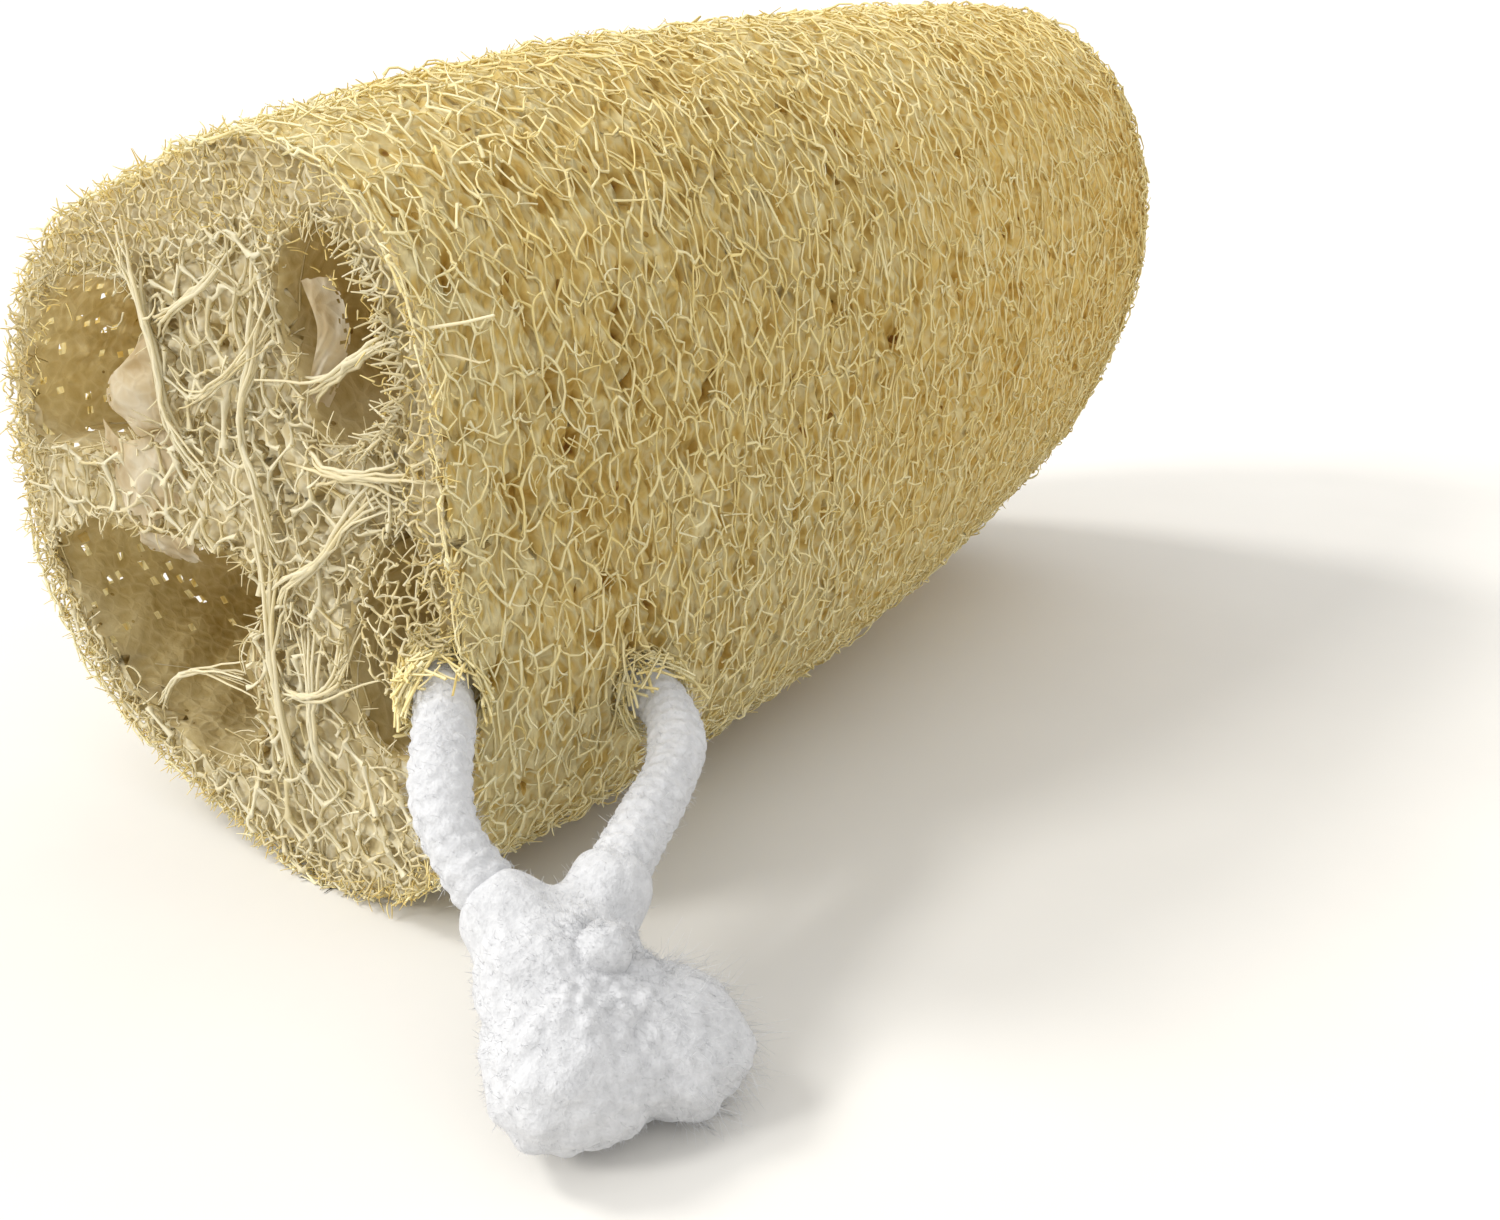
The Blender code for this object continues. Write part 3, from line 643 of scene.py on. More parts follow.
def cord_line(count):
    """Points on a natural cubic spline through the cord's route, and the distance along it."""
    route = np.array(CORD_ROUTE, float)
    knots = run_of(route)
    gap = np.diff(knots)
    size = len(route)
    system, right = np.eye(size), np.zeros((size, 3))
    for i in range(1, size - 1):
        system[i, i - 1:i + 2] = gap[i - 1], 2 * (gap[i - 1] + gap[i]), gap[i]
        right[i] = 6 * ((route[i + 1] - route[i]) / gap[i] - (route[i] - route[i - 1]) / gap[i - 1])
    bend = np.linalg.solve(system, right)
    line = []
    for s in np.linspace(0, knots[-1], count):
        i = min(int(np.searchsorted(knots, s, side="right")) - 1, size - 2)
        a, b = knots[i + 1] - s, s - knots[i]
        line.append((bend[i] * a ** 3 + bend[i + 1] * b ** 3) / (6 * gap[i])
                    + (route[i] / gap[i] - bend[i] * gap[i] / 6) * a
                    + (route[i + 1] / gap[i] - bend[i + 1] * gap[i] / 6) * b)
    line = np.array(line)
    return line, run_of(line)


def frames_along(line):
    """Directions along a line and two across it that turn as little as they can."""
    along = unit(np.gradient(line, axis=0))
    side = [unit(np.cross(along[0], [0.0, 0.0, 1.0]))]
    for direction in along[1:]:
        side.append(unit(side[-1] - direction * np.dot(side[-1], direction)))
    side = np.array(side)
    return along, side, np.cross(side, along)


def knitted(name, line, first):
    """A tube of softly knitted cord along a dense line, which starts at first along the cord."""
    side, above = frames_along(line)[1:]
    run = first + run_of(line)
    turn = FULL_TURN * np.arange(KNIT_AROUND) / KNIT_AROUND
    column = (turn * KNIT_RIBS / FULL_TURN) % 1 * 2 - 1
    rib = 1 - column ** 2
    stitch = np.cos(FULL_TURN * (run[:, None] / STITCH_LENGTH - 0.42 * np.abs(column)[None, :]))
    height = STITCH_HEIGHT * stitch * (0.4 + 0.6 * rib)[None, :] + RIB_HEIGHT * rib[None, :] - 0.10
    wobble = 0.09 * np.sin(run[:, None] / 2.3 + 2 * turn[None, :]) + 0.05 * np.sin(run / 1.3)[:, None]
    reach = (CORD_DIAMETER / 2 + height + wobble)[..., None]
    grid = line[:, None] + reach * (side[:, None] * np.cos(turn)[None, :, None]
                                    + above[:, None] * np.sin(turn)[None, :, None])
    return sheet_of(name, above_floor(grid), COTTON, closed=True)


def nap_along(name, line, count, draw):
    """Fine cotton hairs that stand off the cord."""
    side, above = frames_along(line)[1:]
    place = draw.integers(0, len(line), count)
    turn = draw.uniform(0, FULL_TURN, (count, 1))
    out = side[place] * np.cos(turn) + above[place] * np.sin(turn)
    root = line[place] + out * (CORD_DIAMETER / 2 - 0.08)
    return hairs(name, root, out, draw, 0.9, NAP_RADIUS, NAP, 1.3)


place_camera()

COTTON = cotton_material("white_cotton_knit", (0.62, 0.625, 0.64), (0.78, 0.785, 0.80), 0.3)
NAP = cotton_material("white_cotton_nap", (0.72, 0.725, 0.74), (0.80, 0.805, 0.82), 0.45)

LINE, RUN = cord_line(900)


def cord_stretch(start, end):
    """The cord's line from one distance along it to another."""
    return points_at(np.linspace(start, end, int((end - start) / CORD_STEP) + 2), LINE, RUN)


def build_cord(outer_line, inner_line):
    draw = seeded("cord")
    outer = knitted("cord_outer", outer_line, 0.5)
    inner = knitted("cord_inner", inner_line, CORD_SPLIT)
    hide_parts("cord_outer_strand")
    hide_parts("cord_inner_strand")
    return outer, inner, nap_along("cord_nap", cord_stretch(0.5, RUN[-1] - 0.5), 3000, draw)


# The white mass of the knot and frayed ends: balls, as x, y, z and radius, that merge into one soft form
MASS_CENTRE = np.array([-77.3, -56.4, 8.2])
MASS = {
    "knot_core": [(-76.2, -53.2, 9.6, 5.0), (-78.6, -48.5, 13.6, 3.4), (-70.3, -52.0, 13.3, 3.4),
                  (-80.2, -53.2, 10.0, 4.3), (-77.4, -56.6, 10.0, 3.6)],
    "frayed_end_front_lump": [(-81.6, -58.2, 6.4, 5.3), (-84.4, -59.6, 5.8, 4.2), (-80.6, -61.6, 4.8, 3.7)],
    "frayed_end_right_lump": [(-74.8, -60.2, 6.0, 4.9), (-71.9, -63.2, 4.6, 3.6), (-75.0, -64.6, 4.0, 3.0),
                              (-70.8, -60.2, 5.0, 3.4)],
}
MASS_BLEND = 1.1
MASS_LIMIT = 18.0
MASS_STEPS = 24
# A smaller ball that stands out of the knot: its centre and radius
BUMP_CENTRE = (-76.6, -57.5, 12.7)
BUMP_RADIUS = 2.3
# The way that the loose wisps of the right frayed end point
WISPS_WAY = np.array([0.62, -0.75, -0.2])


def mass_reach(out):
    """How far the merged form reaches along each direction from its centre, and the part nearest there."""
    balls = np.array([ball for group in MASS.values() for ball in group])
    owner = np.repeat(np.arange(len(MASS)), [len(group) for group in MASS.values()])
    near, far = np.zeros(out.shape[:2]), np.full(out.shape[:2], MASS_LIMIT)
    for _ in range(MASS_STEPS):
        middle = (near + far) / 2
        spot = MASS_CENTRE + out * middle[..., None]
        away = np.linalg.norm(spot[..., None, :] - balls[:, :3], axis=-1) - balls[:, 3]
        within = np.log(np.exp(-away / MASS_BLEND).sum(axis=-1)) > 0
        near, far = np.where(within, middle, near), np.where(within, far, middle)
    return near, owner[away.argmin(axis=-1)]


def directions(rows, columns):
    """Unit vectors in rows from pole to pole."""
    polar = np.linspace(0.02, math.pi - 0.02, rows)[:, None]
    turn = FULL_TURN * np.arange(columns)[None, :] / columns
    return np.stack(np.broadcast_arrays(np.sin(polar) * np.cos(turn), np.sin(polar) * np.sin(turn),
                                        np.cos(polar)), axis=-1)


def swellings(out, count, spread, draw):
    """Rounded bulges round random directions: 1 at the middle of one and 0 far from all."""
    tips = unit(draw.normal(size=(count, 3)))
    return np.exp(-(np.arccos(np.clip(out @ tips.T, -1, 1)) / spread) ** 2).max(axis=-1)


def nap_over(name, grid, out, chosen, draw, count, length, lay=1.1):
    """Fine hairs over the chosen points of a lump."""
    rows, columns = np.nonzero(chosen)
    pick = draw.integers(0, len(rows), count)
    root, aim = grid[rows[pick], columns[pick]], out[rows[pick], columns[pick]]
    return hairs(name, root - aim * 0.1, aim, draw, length, NAP_RADIUS, NAP, lay)


def build_mass():
    """The knot and the two frayed ends, as three parts of one surface, each with its nap."""
    draw = seeded("mass")
    out = directions(92, 140)
    reach, owner = mass_reach(out)
    frayed = (owner > 0) * 1.0
    relief = swellings(out, 420, 0.085, draw) * (0.30 + 0.25 * frayed) + swellings(out, 60, 0.25, draw) * 0.5
    grid = above_floor(MASS_CENTRE + out * (reach + relief - 0.6)[..., None])
    parts = []
    for n, name in enumerate(MASS):
        mine = owner == n
        part = sheet_of(name, grid, COTTON, mine[:-1], closed=True)
        parts += [part, nap_over(f"{name}_nap", grid, out, mine, draw, count=2600, length=0.7)]
        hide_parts(("cord_knot", "frayed_end_front", "frayed_end_right")[n])
    sideways = (owner == 2) & (out @ WISPS_WAY > 0.72)
    parts.append(nap_over("frayed_end_right_wisps", grid, out, sideways, draw, count=340, length=3.0,
                          lay=0.35))
    out = directions(40, 60)
    ball = BUMP_CENTRE + out * (BUMP_RADIUS + 0.2 * swellings(out, 26, 0.3, draw))[..., None]
    parts.append(sheet_of("knot_bump", ball, COTTON, closed=True))
    parts.append(nap_over("knot_bump_nap", ball, out, out[..., 2] > -0.5, draw, count=500, length=0.6))
    return parts


outer_line = cord_stretch(0.5, CORD_SPLIT)
inner_line = cord_stretch(CORD_SPLIT, RUN[-1] - 0.5)
outer, inner, cord_nap = build_cord(outer_line, inner_line)
mass_parts = build_mass()


# Sponge outside

STRAW = [(0.0, (0.66, 0.45, 0.12)), (0.5, (0.90, 0.76, 0.34)), (1.0, (0.96, 0.90, 0.62))]
CREAM = [(0.0, (0.54, 0.39, 0.14)), (0.5, (0.77, 0.66, 0.36)), (1.0, (0.86, 0.80, 0.59))]
# The felt's darkest stops colour the painted shade deep in the chambers and in the face's deep holes.
FELT = [(0.0, (0.22, 0.13, 0.04)), (0.25, (0.45, 0.33, 0.12)), (0.5, (0.62, 0.51, 0.26)),
        (0.75, (0.74, 0.64, 0.38)), (1.0, (0.88, 0.82, 0.61))]
SKIN_FIBRE = fibre_material("loofah_skin_fibre", STRAW, 0.3)
FACE_FIBRE = fibre_material("loofah_face_fibre", CREAM, 0.35)
# The wall's darkest stops colour its pits and cell floors, painted shade over its golden colour.
WALL = wall_material("loofah_wall", [(0.0, (0.26, 0.12, 0.02)), (0.2, (0.60, 0.38, 0.08)),
                                     (0.5, (0.84, 0.64, 0.22)), (0.85, (0.96, 0.86, 0.50))], 0.45)
INNER = felt_material("loofah_inner_felt", FELT, 0.4)
MEMBRANE = felt_material("loofah_membrane", [(0.0, (0.50, 0.35, 0.15)), (0.5, (0.72, 0.60, 0.38)),
                                             (1.0, (0.86, 0.79, 0.62))], 0.5, 0.4)


# The thin wall beside the two left chambers: its middle and half width in radians, its length, and its fades
THIN_MIDDLE = 0.12
THIN_HALF = 0.95
THIN_LENGTH = 46
THIN_FADES = (0.3, 12)


def thin_wall(p, angle):
    """How thin the wall is at a place of the skin, from 0 to 1."""
    turn = (angle + math.pi) % FULL_TURN - math.pi
    across = (THIN_HALF - np.abs(turn - THIN_MIDDLE)) / THIN_FADES[0]
    return np.clip(across, 0, 1) * np.clip((THIN_LENGTH - p) / THIN_FADES[1], 0, 1)


def holes_at(p, angle):
    """A pattern of small holes through the wall, the same for the skin and the chamber behind it."""
    first = np.sin(angle * 92 + 1.7 * np.sin(p * 1.3)) * np.sin(p * 2.3 + 1.3 * np.sin(angle * 41))
    second = np.sin(angle * 57 + 2 + p * 1.1) * np.sin(p * 3.1 - angle * 33)
    return first + 0.6 * second


def tone_with_painted_light_at(points, base):
    """Tone by place: paler towards the cut, paler low down as painted light against the shade that falls on
    the underside, a little darker at the closed end.
    """
    x, y, z = points[..., 0], points[..., 1], points[..., 2]
    pale = np.clip((CUT_X + 16 - x) / 16, 0, 1) * 0.22
    # painted light: the lower body is made paler against the shade that falls on its underside
    low = np.clip((40 - z) / 40, 0, 1) * 0.22 - np.clip((x - 25) / 50, 0, 1) * 0.10
    return base + pale + low + 0.07 * np.sin(x / 9 + 2) * np.sin(z / 7) * np.sin(y / 8 + 1)


# The wall's grid and its web: cell size, cells round the body, and the width of the ridges between them
WALL_STEP = 0.62
WALL_COLUMNS = 233
WEB_CELL = 1.75
WEB_ROUND = 60
WEB_RIDGE = 0.42
# Nets over the skin: side, stretch round the body, depth, points a fibre, thickness, waist and tone
SKIN_NETS = {"close": (1.15, 2.4, 0.3, 3, (0.11, 0.19), 0.7, 0.62),
             "outer": (1.5, 2.0, 0.0, 4, (0.13, 0.22), 0.6, 0.66)}
# Nets over the blunt end: side, depth and tone
END_NETS = [(1.45, 0.05, 0.66), (1.7, 0.4, 0.56)]
WISPS = 3300


def build_skin():
    """The skin's own web of ridges and golden hollows, which darken with their depth as painted shade, and
    two nets of fibres over it.
    """
    draw = seeded("skin")
    p, angle = np.meshgrid(np.arange(0.6, SIDE_LENGTH + DOME_REACH - 0.5, WALL_STEP),
                           np.linspace(-math.pi / 2, 1.5 * math.pi, WALL_COLUMNS), indexing="ij")
    along = p + wander(p, angle) + 4
    around = angle + math.pi / 2
    edge, pair = cell_web(along / WEB_CELL, around / FULL_TURN * WEB_ROUND, WEB_ROUND)
    k = np.clip(edge / WEB_RIDGE, 0, 1)
    deepest = pair[..., 1] > 0.93
    hollow = 0.35 + 0.9 * pair[..., 0] + 1.2 * deepest
    rough = draw.normal(0, 0.05, p.shape)
    rough[:, -1] = rough[:, 0]
    grid = skin_at(p, angle, 0.35 + hollow * k * k * (3 - 2 * k) + rough)
    flow = np.stack([along, around * SKIN_RADIUS / 2.2, p * 0], axis=-1)
    # Painted shade: the hollows are darker the deeper they sink, and the deepest cells darkest, over the
    # wall's golden tone.
    tone = tone_with_painted_light_at(grid, 0.94 - k * (0.10 + 0.10 * pair[..., 0] + 0.3 * deepest))
    thin = thin_wall(p, angle)
    ragged = thin * (1 + 0.2 * np.sin(1.3 * p) * np.sin(23 * angle))
    open_here = (thin > 0.05) & (holes_at(p, angle) > 1.4 - 0.95 * ragged)
    wall = sheet_of("sponge_wall", grid, WALL, ~open_here[:-1, :-1], tone=tone, flow=flow)
    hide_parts("sponge")
    for name, (side, stretch, deep, size, thick, waist, shade) in SKIN_NETS.items():
        x, y, links = comb(SIDE_LENGTH + 6, FULL_TURN * SKIN_RADIUS / stretch + side, side, 0.44, 0.14, draw)
        turn = y * stretch / SKIN_RADIUS - math.pi / 2
        x = np.clip(x + wander(x, turn) - 0.3, -0.3, None)
        nodes = skin_at(x, turn, deep + draw.normal(0, 0.22, len(x)))
        lay_net(f"sponge_net_{name}", nodes, links, SKIN_FIBRE, draw, size, 0.24 * side,
                thick, waist, shade, 0.09)


def build_dome():
    """The blunt end's net, which runs every way."""
    draw = seeded("dome")
    for n, (side, deep, shade) in enumerate(END_NETS):
        x, y, links = comb(2 * DOME_REACH, 2 * DOME_REACH, side, 0.4, 0.1, draw)
        x, y = x - DOME_REACH, y - DOME_REACH
        reach = np.hypot(x, y)
        links = links[(reach[links] < DOME_REACH + 1).all(axis=1)]
        nodes = skin_at(SIDE_LENGTH + DOME_REACH - np.minimum(reach, DOME_REACH + 2), np.arctan2(y, x),
                        deep + draw.normal(0, 0.25, len(x)))
        lay_net(f"sponge_end_net_{n}", nodes, links, SKIN_FIBRE, draw, 3, 0.25,
                (0.12, 0.22), 0.6, shade, 0.13)


def build_wisps():
    """Loose fibre ends that curl out of the skin, most of them near the cut."""
    draw = seeded("wisps")
    near = draw.random(WISPS) < 0.55
    p = np.where(near, draw.uniform(0, 1, WISPS) ** 1.4 * 60, draw.uniform(0, SIDE_LENGTH + 30, WISPS))
    angle = draw.uniform(0, FULL_TURN, WISPS)
    each = (WISPS, 1)
    u = np.linspace(0, 1, 5)[None, :]
    heading = draw.normal(0, 1.0, each) + math.pi / 2 + math.pi * draw.integers(0, 2, each)
    length = draw.uniform(1.5, 4.2, each)
    along, across = strayed(heading + draw.normal(0, 1.9, each) * u, length)
    lift = 0.3 - draw.uniform(0.1, 1.0, each) * 1.3 * u ** 1.5
    lines = skin_at(np.clip(p[:, None] + along, -0.5, None), angle[:, None] + across / SKIN_RADIUS, lift)
    radii = draw.uniform(0.08, 0.15, each) * (1 - 0.55 * u)
    tone = tone_with_painted_light_at(lines[:, 0], draw.normal(0.68, 0.16, WISPS))
    tubes("sponge_loose_fibres", lines, radii, SKIN_FIBRE, tone, draw)


# Seed chambers

def chamber_point(places, depth, part, turn):
    """Point of a chamber's wall: places are its mouth's outline as shares of the section."""
    middle = places.mean(axis=0)
    width = np.sqrt(np.maximum(1 - part ** 3, 0)) * (1 + 0.06 * np.sin(math.pi * np.minimum(part * 2, 1)))
    loop = np.concatenate([places, places[:1]])
    marks = np.linspace(0, 1, len(loop))
    y, z = (middle[k] + (np.interp(turn % 1, marks, loop[:, k]) - middle[k]) * width for k in (0, 1))
    return body_point(part * depth / LENGTH, np.arctan2(z, y), np.hypot(y, z))


# How far in a chamber's wall is finely divided, and its spacing along and points round: fine and coarse
FINE_DEPTH = 44
FINE = (0.65, 112)
COARSE = (1.2, 60)
CHAMBER_FIBRES = 26


def build_chamber(name, outline, depth, place):
    """A chamber's smooth felted wall, with fibres that run back along it from its mouth."""
    draw = seeded("chambers", place)
    spacing, around = FINE if "left" in name else COARSE
    curve = spline(outline, 60, closed=True)
    share, angle = body_share(curve[:, 0], curve[:, 1])
    places = np.stack([share * np.cos(angle), share * np.sin(angle)], axis=1)
    steps = np.concatenate([np.arange(0.3, FINE_DEPTH, spacing),
                            np.arange(FINE_DEPTH + 0.5, depth - 0.1, 2.0)])
    part, turn = np.meshgrid(steps / depth, np.arange(around) / around, indexing="ij")
    grid = chamber_point(places, depth, part, turn)
    middle = grid.mean(axis=1, keepdims=True)
    along = part * depth
    folds = (0.04 * np.sin(10 * math.pi * turn + along * 0.25)
             + 0.02 * np.sin(28 * math.pi * turn - along * 0.6))
    grid = middle + (grid - middle) * (1 + folds + draw.normal(0, 0.008, part.shape))[..., None]
    reach, where = body_share(grid[..., 1], grid[..., 2], along / LENGTH)
    thin = thin_wall(along, where) * (reach > 0.70)
    open_here = (thin > 0.5) & (holes_at(along, where) > 0.86)
    # Painted shade and light: the wall darkens the deeper it runs into the chamber, and is paler where the
    # skin beside it is thin near the mouth, as if lit through it.
    tone = 0.50 - along / 110 + 0.22 * thin * np.clip(1 - along / 30, 0, 1)
    tone += 0.08 * np.sin(6 * math.pi * turn + along / 6)
    sheet_of(f"sponge_{name}_wall", grid, INNER, keep=~open_here[:-1], closed=True, tone=tone)

    each = (CHAMBER_FIBRES, 1)
    u = np.linspace(0, 1, 5)[None, :]
    start = draw.uniform(0, 1, each) ** 1.8 * 24
    run = np.clip(start + draw.uniform(-3, 5, each) * u, 0.1, depth * 0.8) / depth
    swing = draw.uniform(0, 1, each) + draw.normal(0, 0.09, each) * u
    wall = chamber_point(places, depth, run, swing)
    middle = chamber_point(places, depth, run[..., None], np.arange(8)[None, None, :] / 8).mean(axis=2)
    lines = middle + (wall - middle) * draw.uniform(0.93, 0.99, (CHAMBER_FIBRES, 1, 1))
    radii = draw.uniform(0.07, 0.13, each) * (1 - 0.4 * u)
    tone = shades(draw, 0.65, 0.15, CHAMBER_FIBRES)
    tubes(f"sponge_{name}_fibres", lines, radii, FACE_FIBRE, tone, draw)
    return curve


# Cut face

# Places of the face's web that are smooth, and those that are deep holes painted dark as shade: (y, z,
# radius)
SMOOTH_PLACES = [(12, 35, 5.0), (20, 34, 4.0), (-20, 15, 6.5), (-13, 11, 5.0), (-6, 37, 3.0), (-12, 60, 3.0),
                 (-26, 29, 3.0)]
DEEP_PLACES = [(3.6, 56.4, 1.8), (-27.5, 35, 1.3), (-33.5, 37.5, 1.4), (-13.6, 9.7, 1.2), (-18.5, 11.8, 1.0),
               (-6, 44, 1.8), (-14, 38.5, 1.8), (-11, 25, 1.6)]


def edge_share(angle):
    """Where the fine felt of the rim starts, as a share of the section: a wide rim at the top and left."""
    return 0.85 - 0.10 * np.cos(angle - 1.8)


def web_cells(draw):
    """Cells of the face's web, as (y, z, spacing, depth, tone): fine in the rim and wider inside it."""
    found = []
    for space, in_rim in ((2.5, False), (1.2, True)):
        y, z = np.meshgrid(np.arange(-44, 44, space), np.arange(-6, 88, space), indexing="ij")
        y = y.ravel() + draw.uniform(-0.45, 0.45, y.size) * space
        z = z.ravel() + draw.uniform(-0.45, 0.45, z.size) * space
        share, angle = body_share(y, z)
        keep = (share < 1.1) & ((share > edge_share(angle)) == in_rim)
        pick = draw.random(y.size)
        deep = np.where(pick < 0.45, draw.uniform(0.3, 0.9, y.size),
                        np.where(pick < 0.8, draw.uniform(1.4, 2.6, y.size), draw.uniform(3.0, 4.6, y.size)))
        # Painted shade: a cell's tone is darker the deeper it is, here and in the rim.
        tone = np.clip(0.78 - 0.17 * deep + draw.normal(0, 0.05, y.size), 0.08, 0.8)
        if in_rim:
            deep = draw.uniform(0.4, 1.4, y.size)
            tone = np.clip(0.66 - 0.12 * deep + draw.normal(0, 0.05, y.size), 0, 1)
        found.append(np.stack([y, z, np.full(y.size, space), deep, tone], axis=1)[keep])
    return np.concatenate(found)


def web_height(y, z, cell):
    """Height and tone of the web at each place: ridges between the cells, hollows inside them."""
    height, tone = np.empty(len(y)), np.empty(len(y))
    for some in chunks(np.arange(len(y))):
        away = np.hypot(y[some, None] - cell[None, :, 0], z[some, None] - cell[None, :, 1])
        order = np.argpartition(away, 1, axis=1)[:, :2]
        two = np.take_along_axis(away, order, axis=1)
        first = order[np.arange(len(some)), two.argmin(axis=1)]
        k = np.clip(np.abs(two[:, 1] - two[:, 0]) / (0.5 * cell[first, 2]), 0, 1)
        k = k * k * (3 - 2 * k)
        height[some] = -cell[first, 3] * k
        # The ridges are pale; the hollows take their cell's tone, darkened with depth as painted shade.
        tone[some] = 0.9 * (1 - k) + cell[first, 4] * k
    return height, tone


# The bed's rim, as points round it and a share of the section, and the spacing of the points within
RIM_POINTS = 200
RIM_SHARE = 0.985
BED_STEP = 0.52


def build_bed(curves):
    """The web of ridges, membranes and hollows between the chambers and the rim."""
    draw = seeded("bed")
    turn = FULL_TURN * np.arange(RIM_POINTS) / RIM_POINTS
    rim = body_point(np.zeros(RIM_POINTS), turn, RIM_SHARE)[:, 1:]
    y, z = np.meshgrid(np.arange(-42, 42, BED_STEP), np.arange(-2, 86, BED_STEP), indexing="ij")
    spots = np.stack([y.ravel(), z.ravel()], axis=1) + draw.uniform(-0.12, 0.12, (y.size, 2))
    spots = spots[inside(spots, rim) & outside(spots, curves)]
    points, edges = [], []
    for loop in [rim] + curves:
        first = len(points)
        points += [tuple(v) for v in loop]
        edges += [(first + k, first + (k + 1) % len(loop)) for k in range(len(loop))]
    points += [tuple(v) for v in spots]
    made = delaunay_2d_cdt([Vector(v) for v in points], edges, [], 0, 1e-9)
    flat = np.array([tuple(v) for v in made[0]])
    faces = np.array([f for f in made[2] if len(f) == 3])
    middle = flat[faces].mean(axis=1)
    faces = faces[inside(middle, rim) & outside(middle, curves)]
    cell = web_cells(draw)
    # Deep holes are cut 6 mm in and painted almost black as shade.
    for places, deep, shade in ((SMOOTH_PLACES, 0.5, 0.62), (DEEP_PLACES, 6.0, 0.1)):
        for y, z, reach in places:
            cell[np.hypot(cell[:, 0] - y, cell[:, 1] - z) < reach, 3:] = deep, shade
    height, tone = web_height(flat[:, 0], flat[:, 1], cell)
    slow = 0.5 * np.sin(flat[:, 0] / 4.1 + 1) * np.sin(flat[:, 1] / 3.7)
    add_mesh("sponge_face_bed", face_point(flat[:, 0], flat[:, 1], height - 0.5 + slow), faces, INNER, tone)


# Nets over the face: side, height and its spread, thickness, waist, tone, share left out, and if in the rim
FACE_NETS = {
    "rim": (0.85, 0.1, 0.22, (0.11, 0.19), 0.75, 0.68, 0.06, True),
    "low": (1.3, -0.9, 0.2, (0.11, 0.20), 0.7, 0.60, 0.10, False),
    "middle": (1.8, -0.1, 0.10, (0.18, 0.36), 0.5, 0.80, 0.06, False),
    "wide": (3.0, 0.1, 0.12, (0.28, 0.50), 0.42, 0.92, 0.2, False),
}


def build_face_nets(curves):
    draw = seeded("nets")
    shrunk = [loop.mean(axis=0) + (loop - loop.mean(axis=0)) * 0.93 for loop in curves]
    for name, (side, height, spread, thick, waist, shade, drop, in_rim) in FACE_NETS.items():
        x, y, links = comb(86, 90, side, 0.38, drop, draw)
        x, y = x - 43, y - 3
        share, angle = body_share(x, y)
        good = (share < 0.99) & outside(np.stack([x, y], axis=1), shrunk)
        good &= (share > edge_share(angle) - 0.05) if in_rim else (share < edge_share(angle) + 0.06)
        links = links[good[links].all(axis=1)]
        nodes = face_point(x, y, height + draw.normal(0, spread, len(x)))
        lay_net(f"sponge_face_net_{name}", nodes, links, FACE_FIBRE, draw, 3 if in_rim else 4, 0.09 * side,
                thick, waist, shade, 0.12)


RIM_FIBRES = 1500
MOUTH_FIBRES = 120
TEETH = 170


def build_rim():
    """Curly fibre ends along the cut's outer rim and the chambers' edges."""
    draw = seeded("rim")
    angle = draw.uniform(0, FULL_TURN, RIM_FIBRES)
    share = 1 - (1 - edge_share(angle)) * draw.uniform(0, 1, RIM_FIBRES) ** 1.5
    root = body_point(np.zeros(RIM_FIBRES), angle, share) + [0.3, 0, 0]
    steep = share ** 3
    out = unit(np.stack([np.full(RIM_FIBRES, -0.8), steep * np.cos(angle), steep * np.sin(angle)], axis=1))
    hairs("sponge_rim_fibres", root, out, draw, length=1.5, radius=0.10, finish=SKIN_FIBRE, lay=0.9, size=4,
          shade=0.50)
    roots, outs = [], []
    for curve in curves:
        place = draw.integers(0, len(curve), MOUTH_FIBRES)
        middle = curve.mean(axis=0) - curve[place]
        inward = middle / np.linalg.norm(middle, axis=1, keepdims=True)
        spot = curve[place] - inward * draw.uniform(-0.2, 1.2, (MOUTH_FIBRES, 1))
        roots.append(face_point(spot[:, 0], spot[:, 1], draw.uniform(-0.8, 0.5, MOUTH_FIBRES)))
        outs.append(np.stack([draw.normal(-0.5, 0.5, MOUTH_FIBRES), inward[:, 0], inward[:, 1]], axis=1))
    hairs("sponge_mouth_fibres", np.concatenate(roots), unit(np.concatenate(outs)), draw, length=2.2,
          radius=0.12, finish=FACE_FIBRE, lay=0.45, size=4, shade=0.82)
    spot = curves[1][draw.integers(0, 60, TEETH)]
    spot = spot[spot[:, 0] < -22]
    tooth = unit(np.stack([np.full(len(spot), -0.45), draw.normal(0.9, 0.2, len(spot)),
                           draw.normal(-0.25, 0.35, len(spot))], axis=1))
    hairs("sponge_rim_teeth", face_point(spot[:, 0] - 0.6, spot[:, 1] + 0.3, 0.1), tooth, draw, length=2.4,
          radius=0.17, finish=FACE_FIBRE, lay=0.35, size=4, shade=0.82)


STRANDS = 7
TWIGS = 190


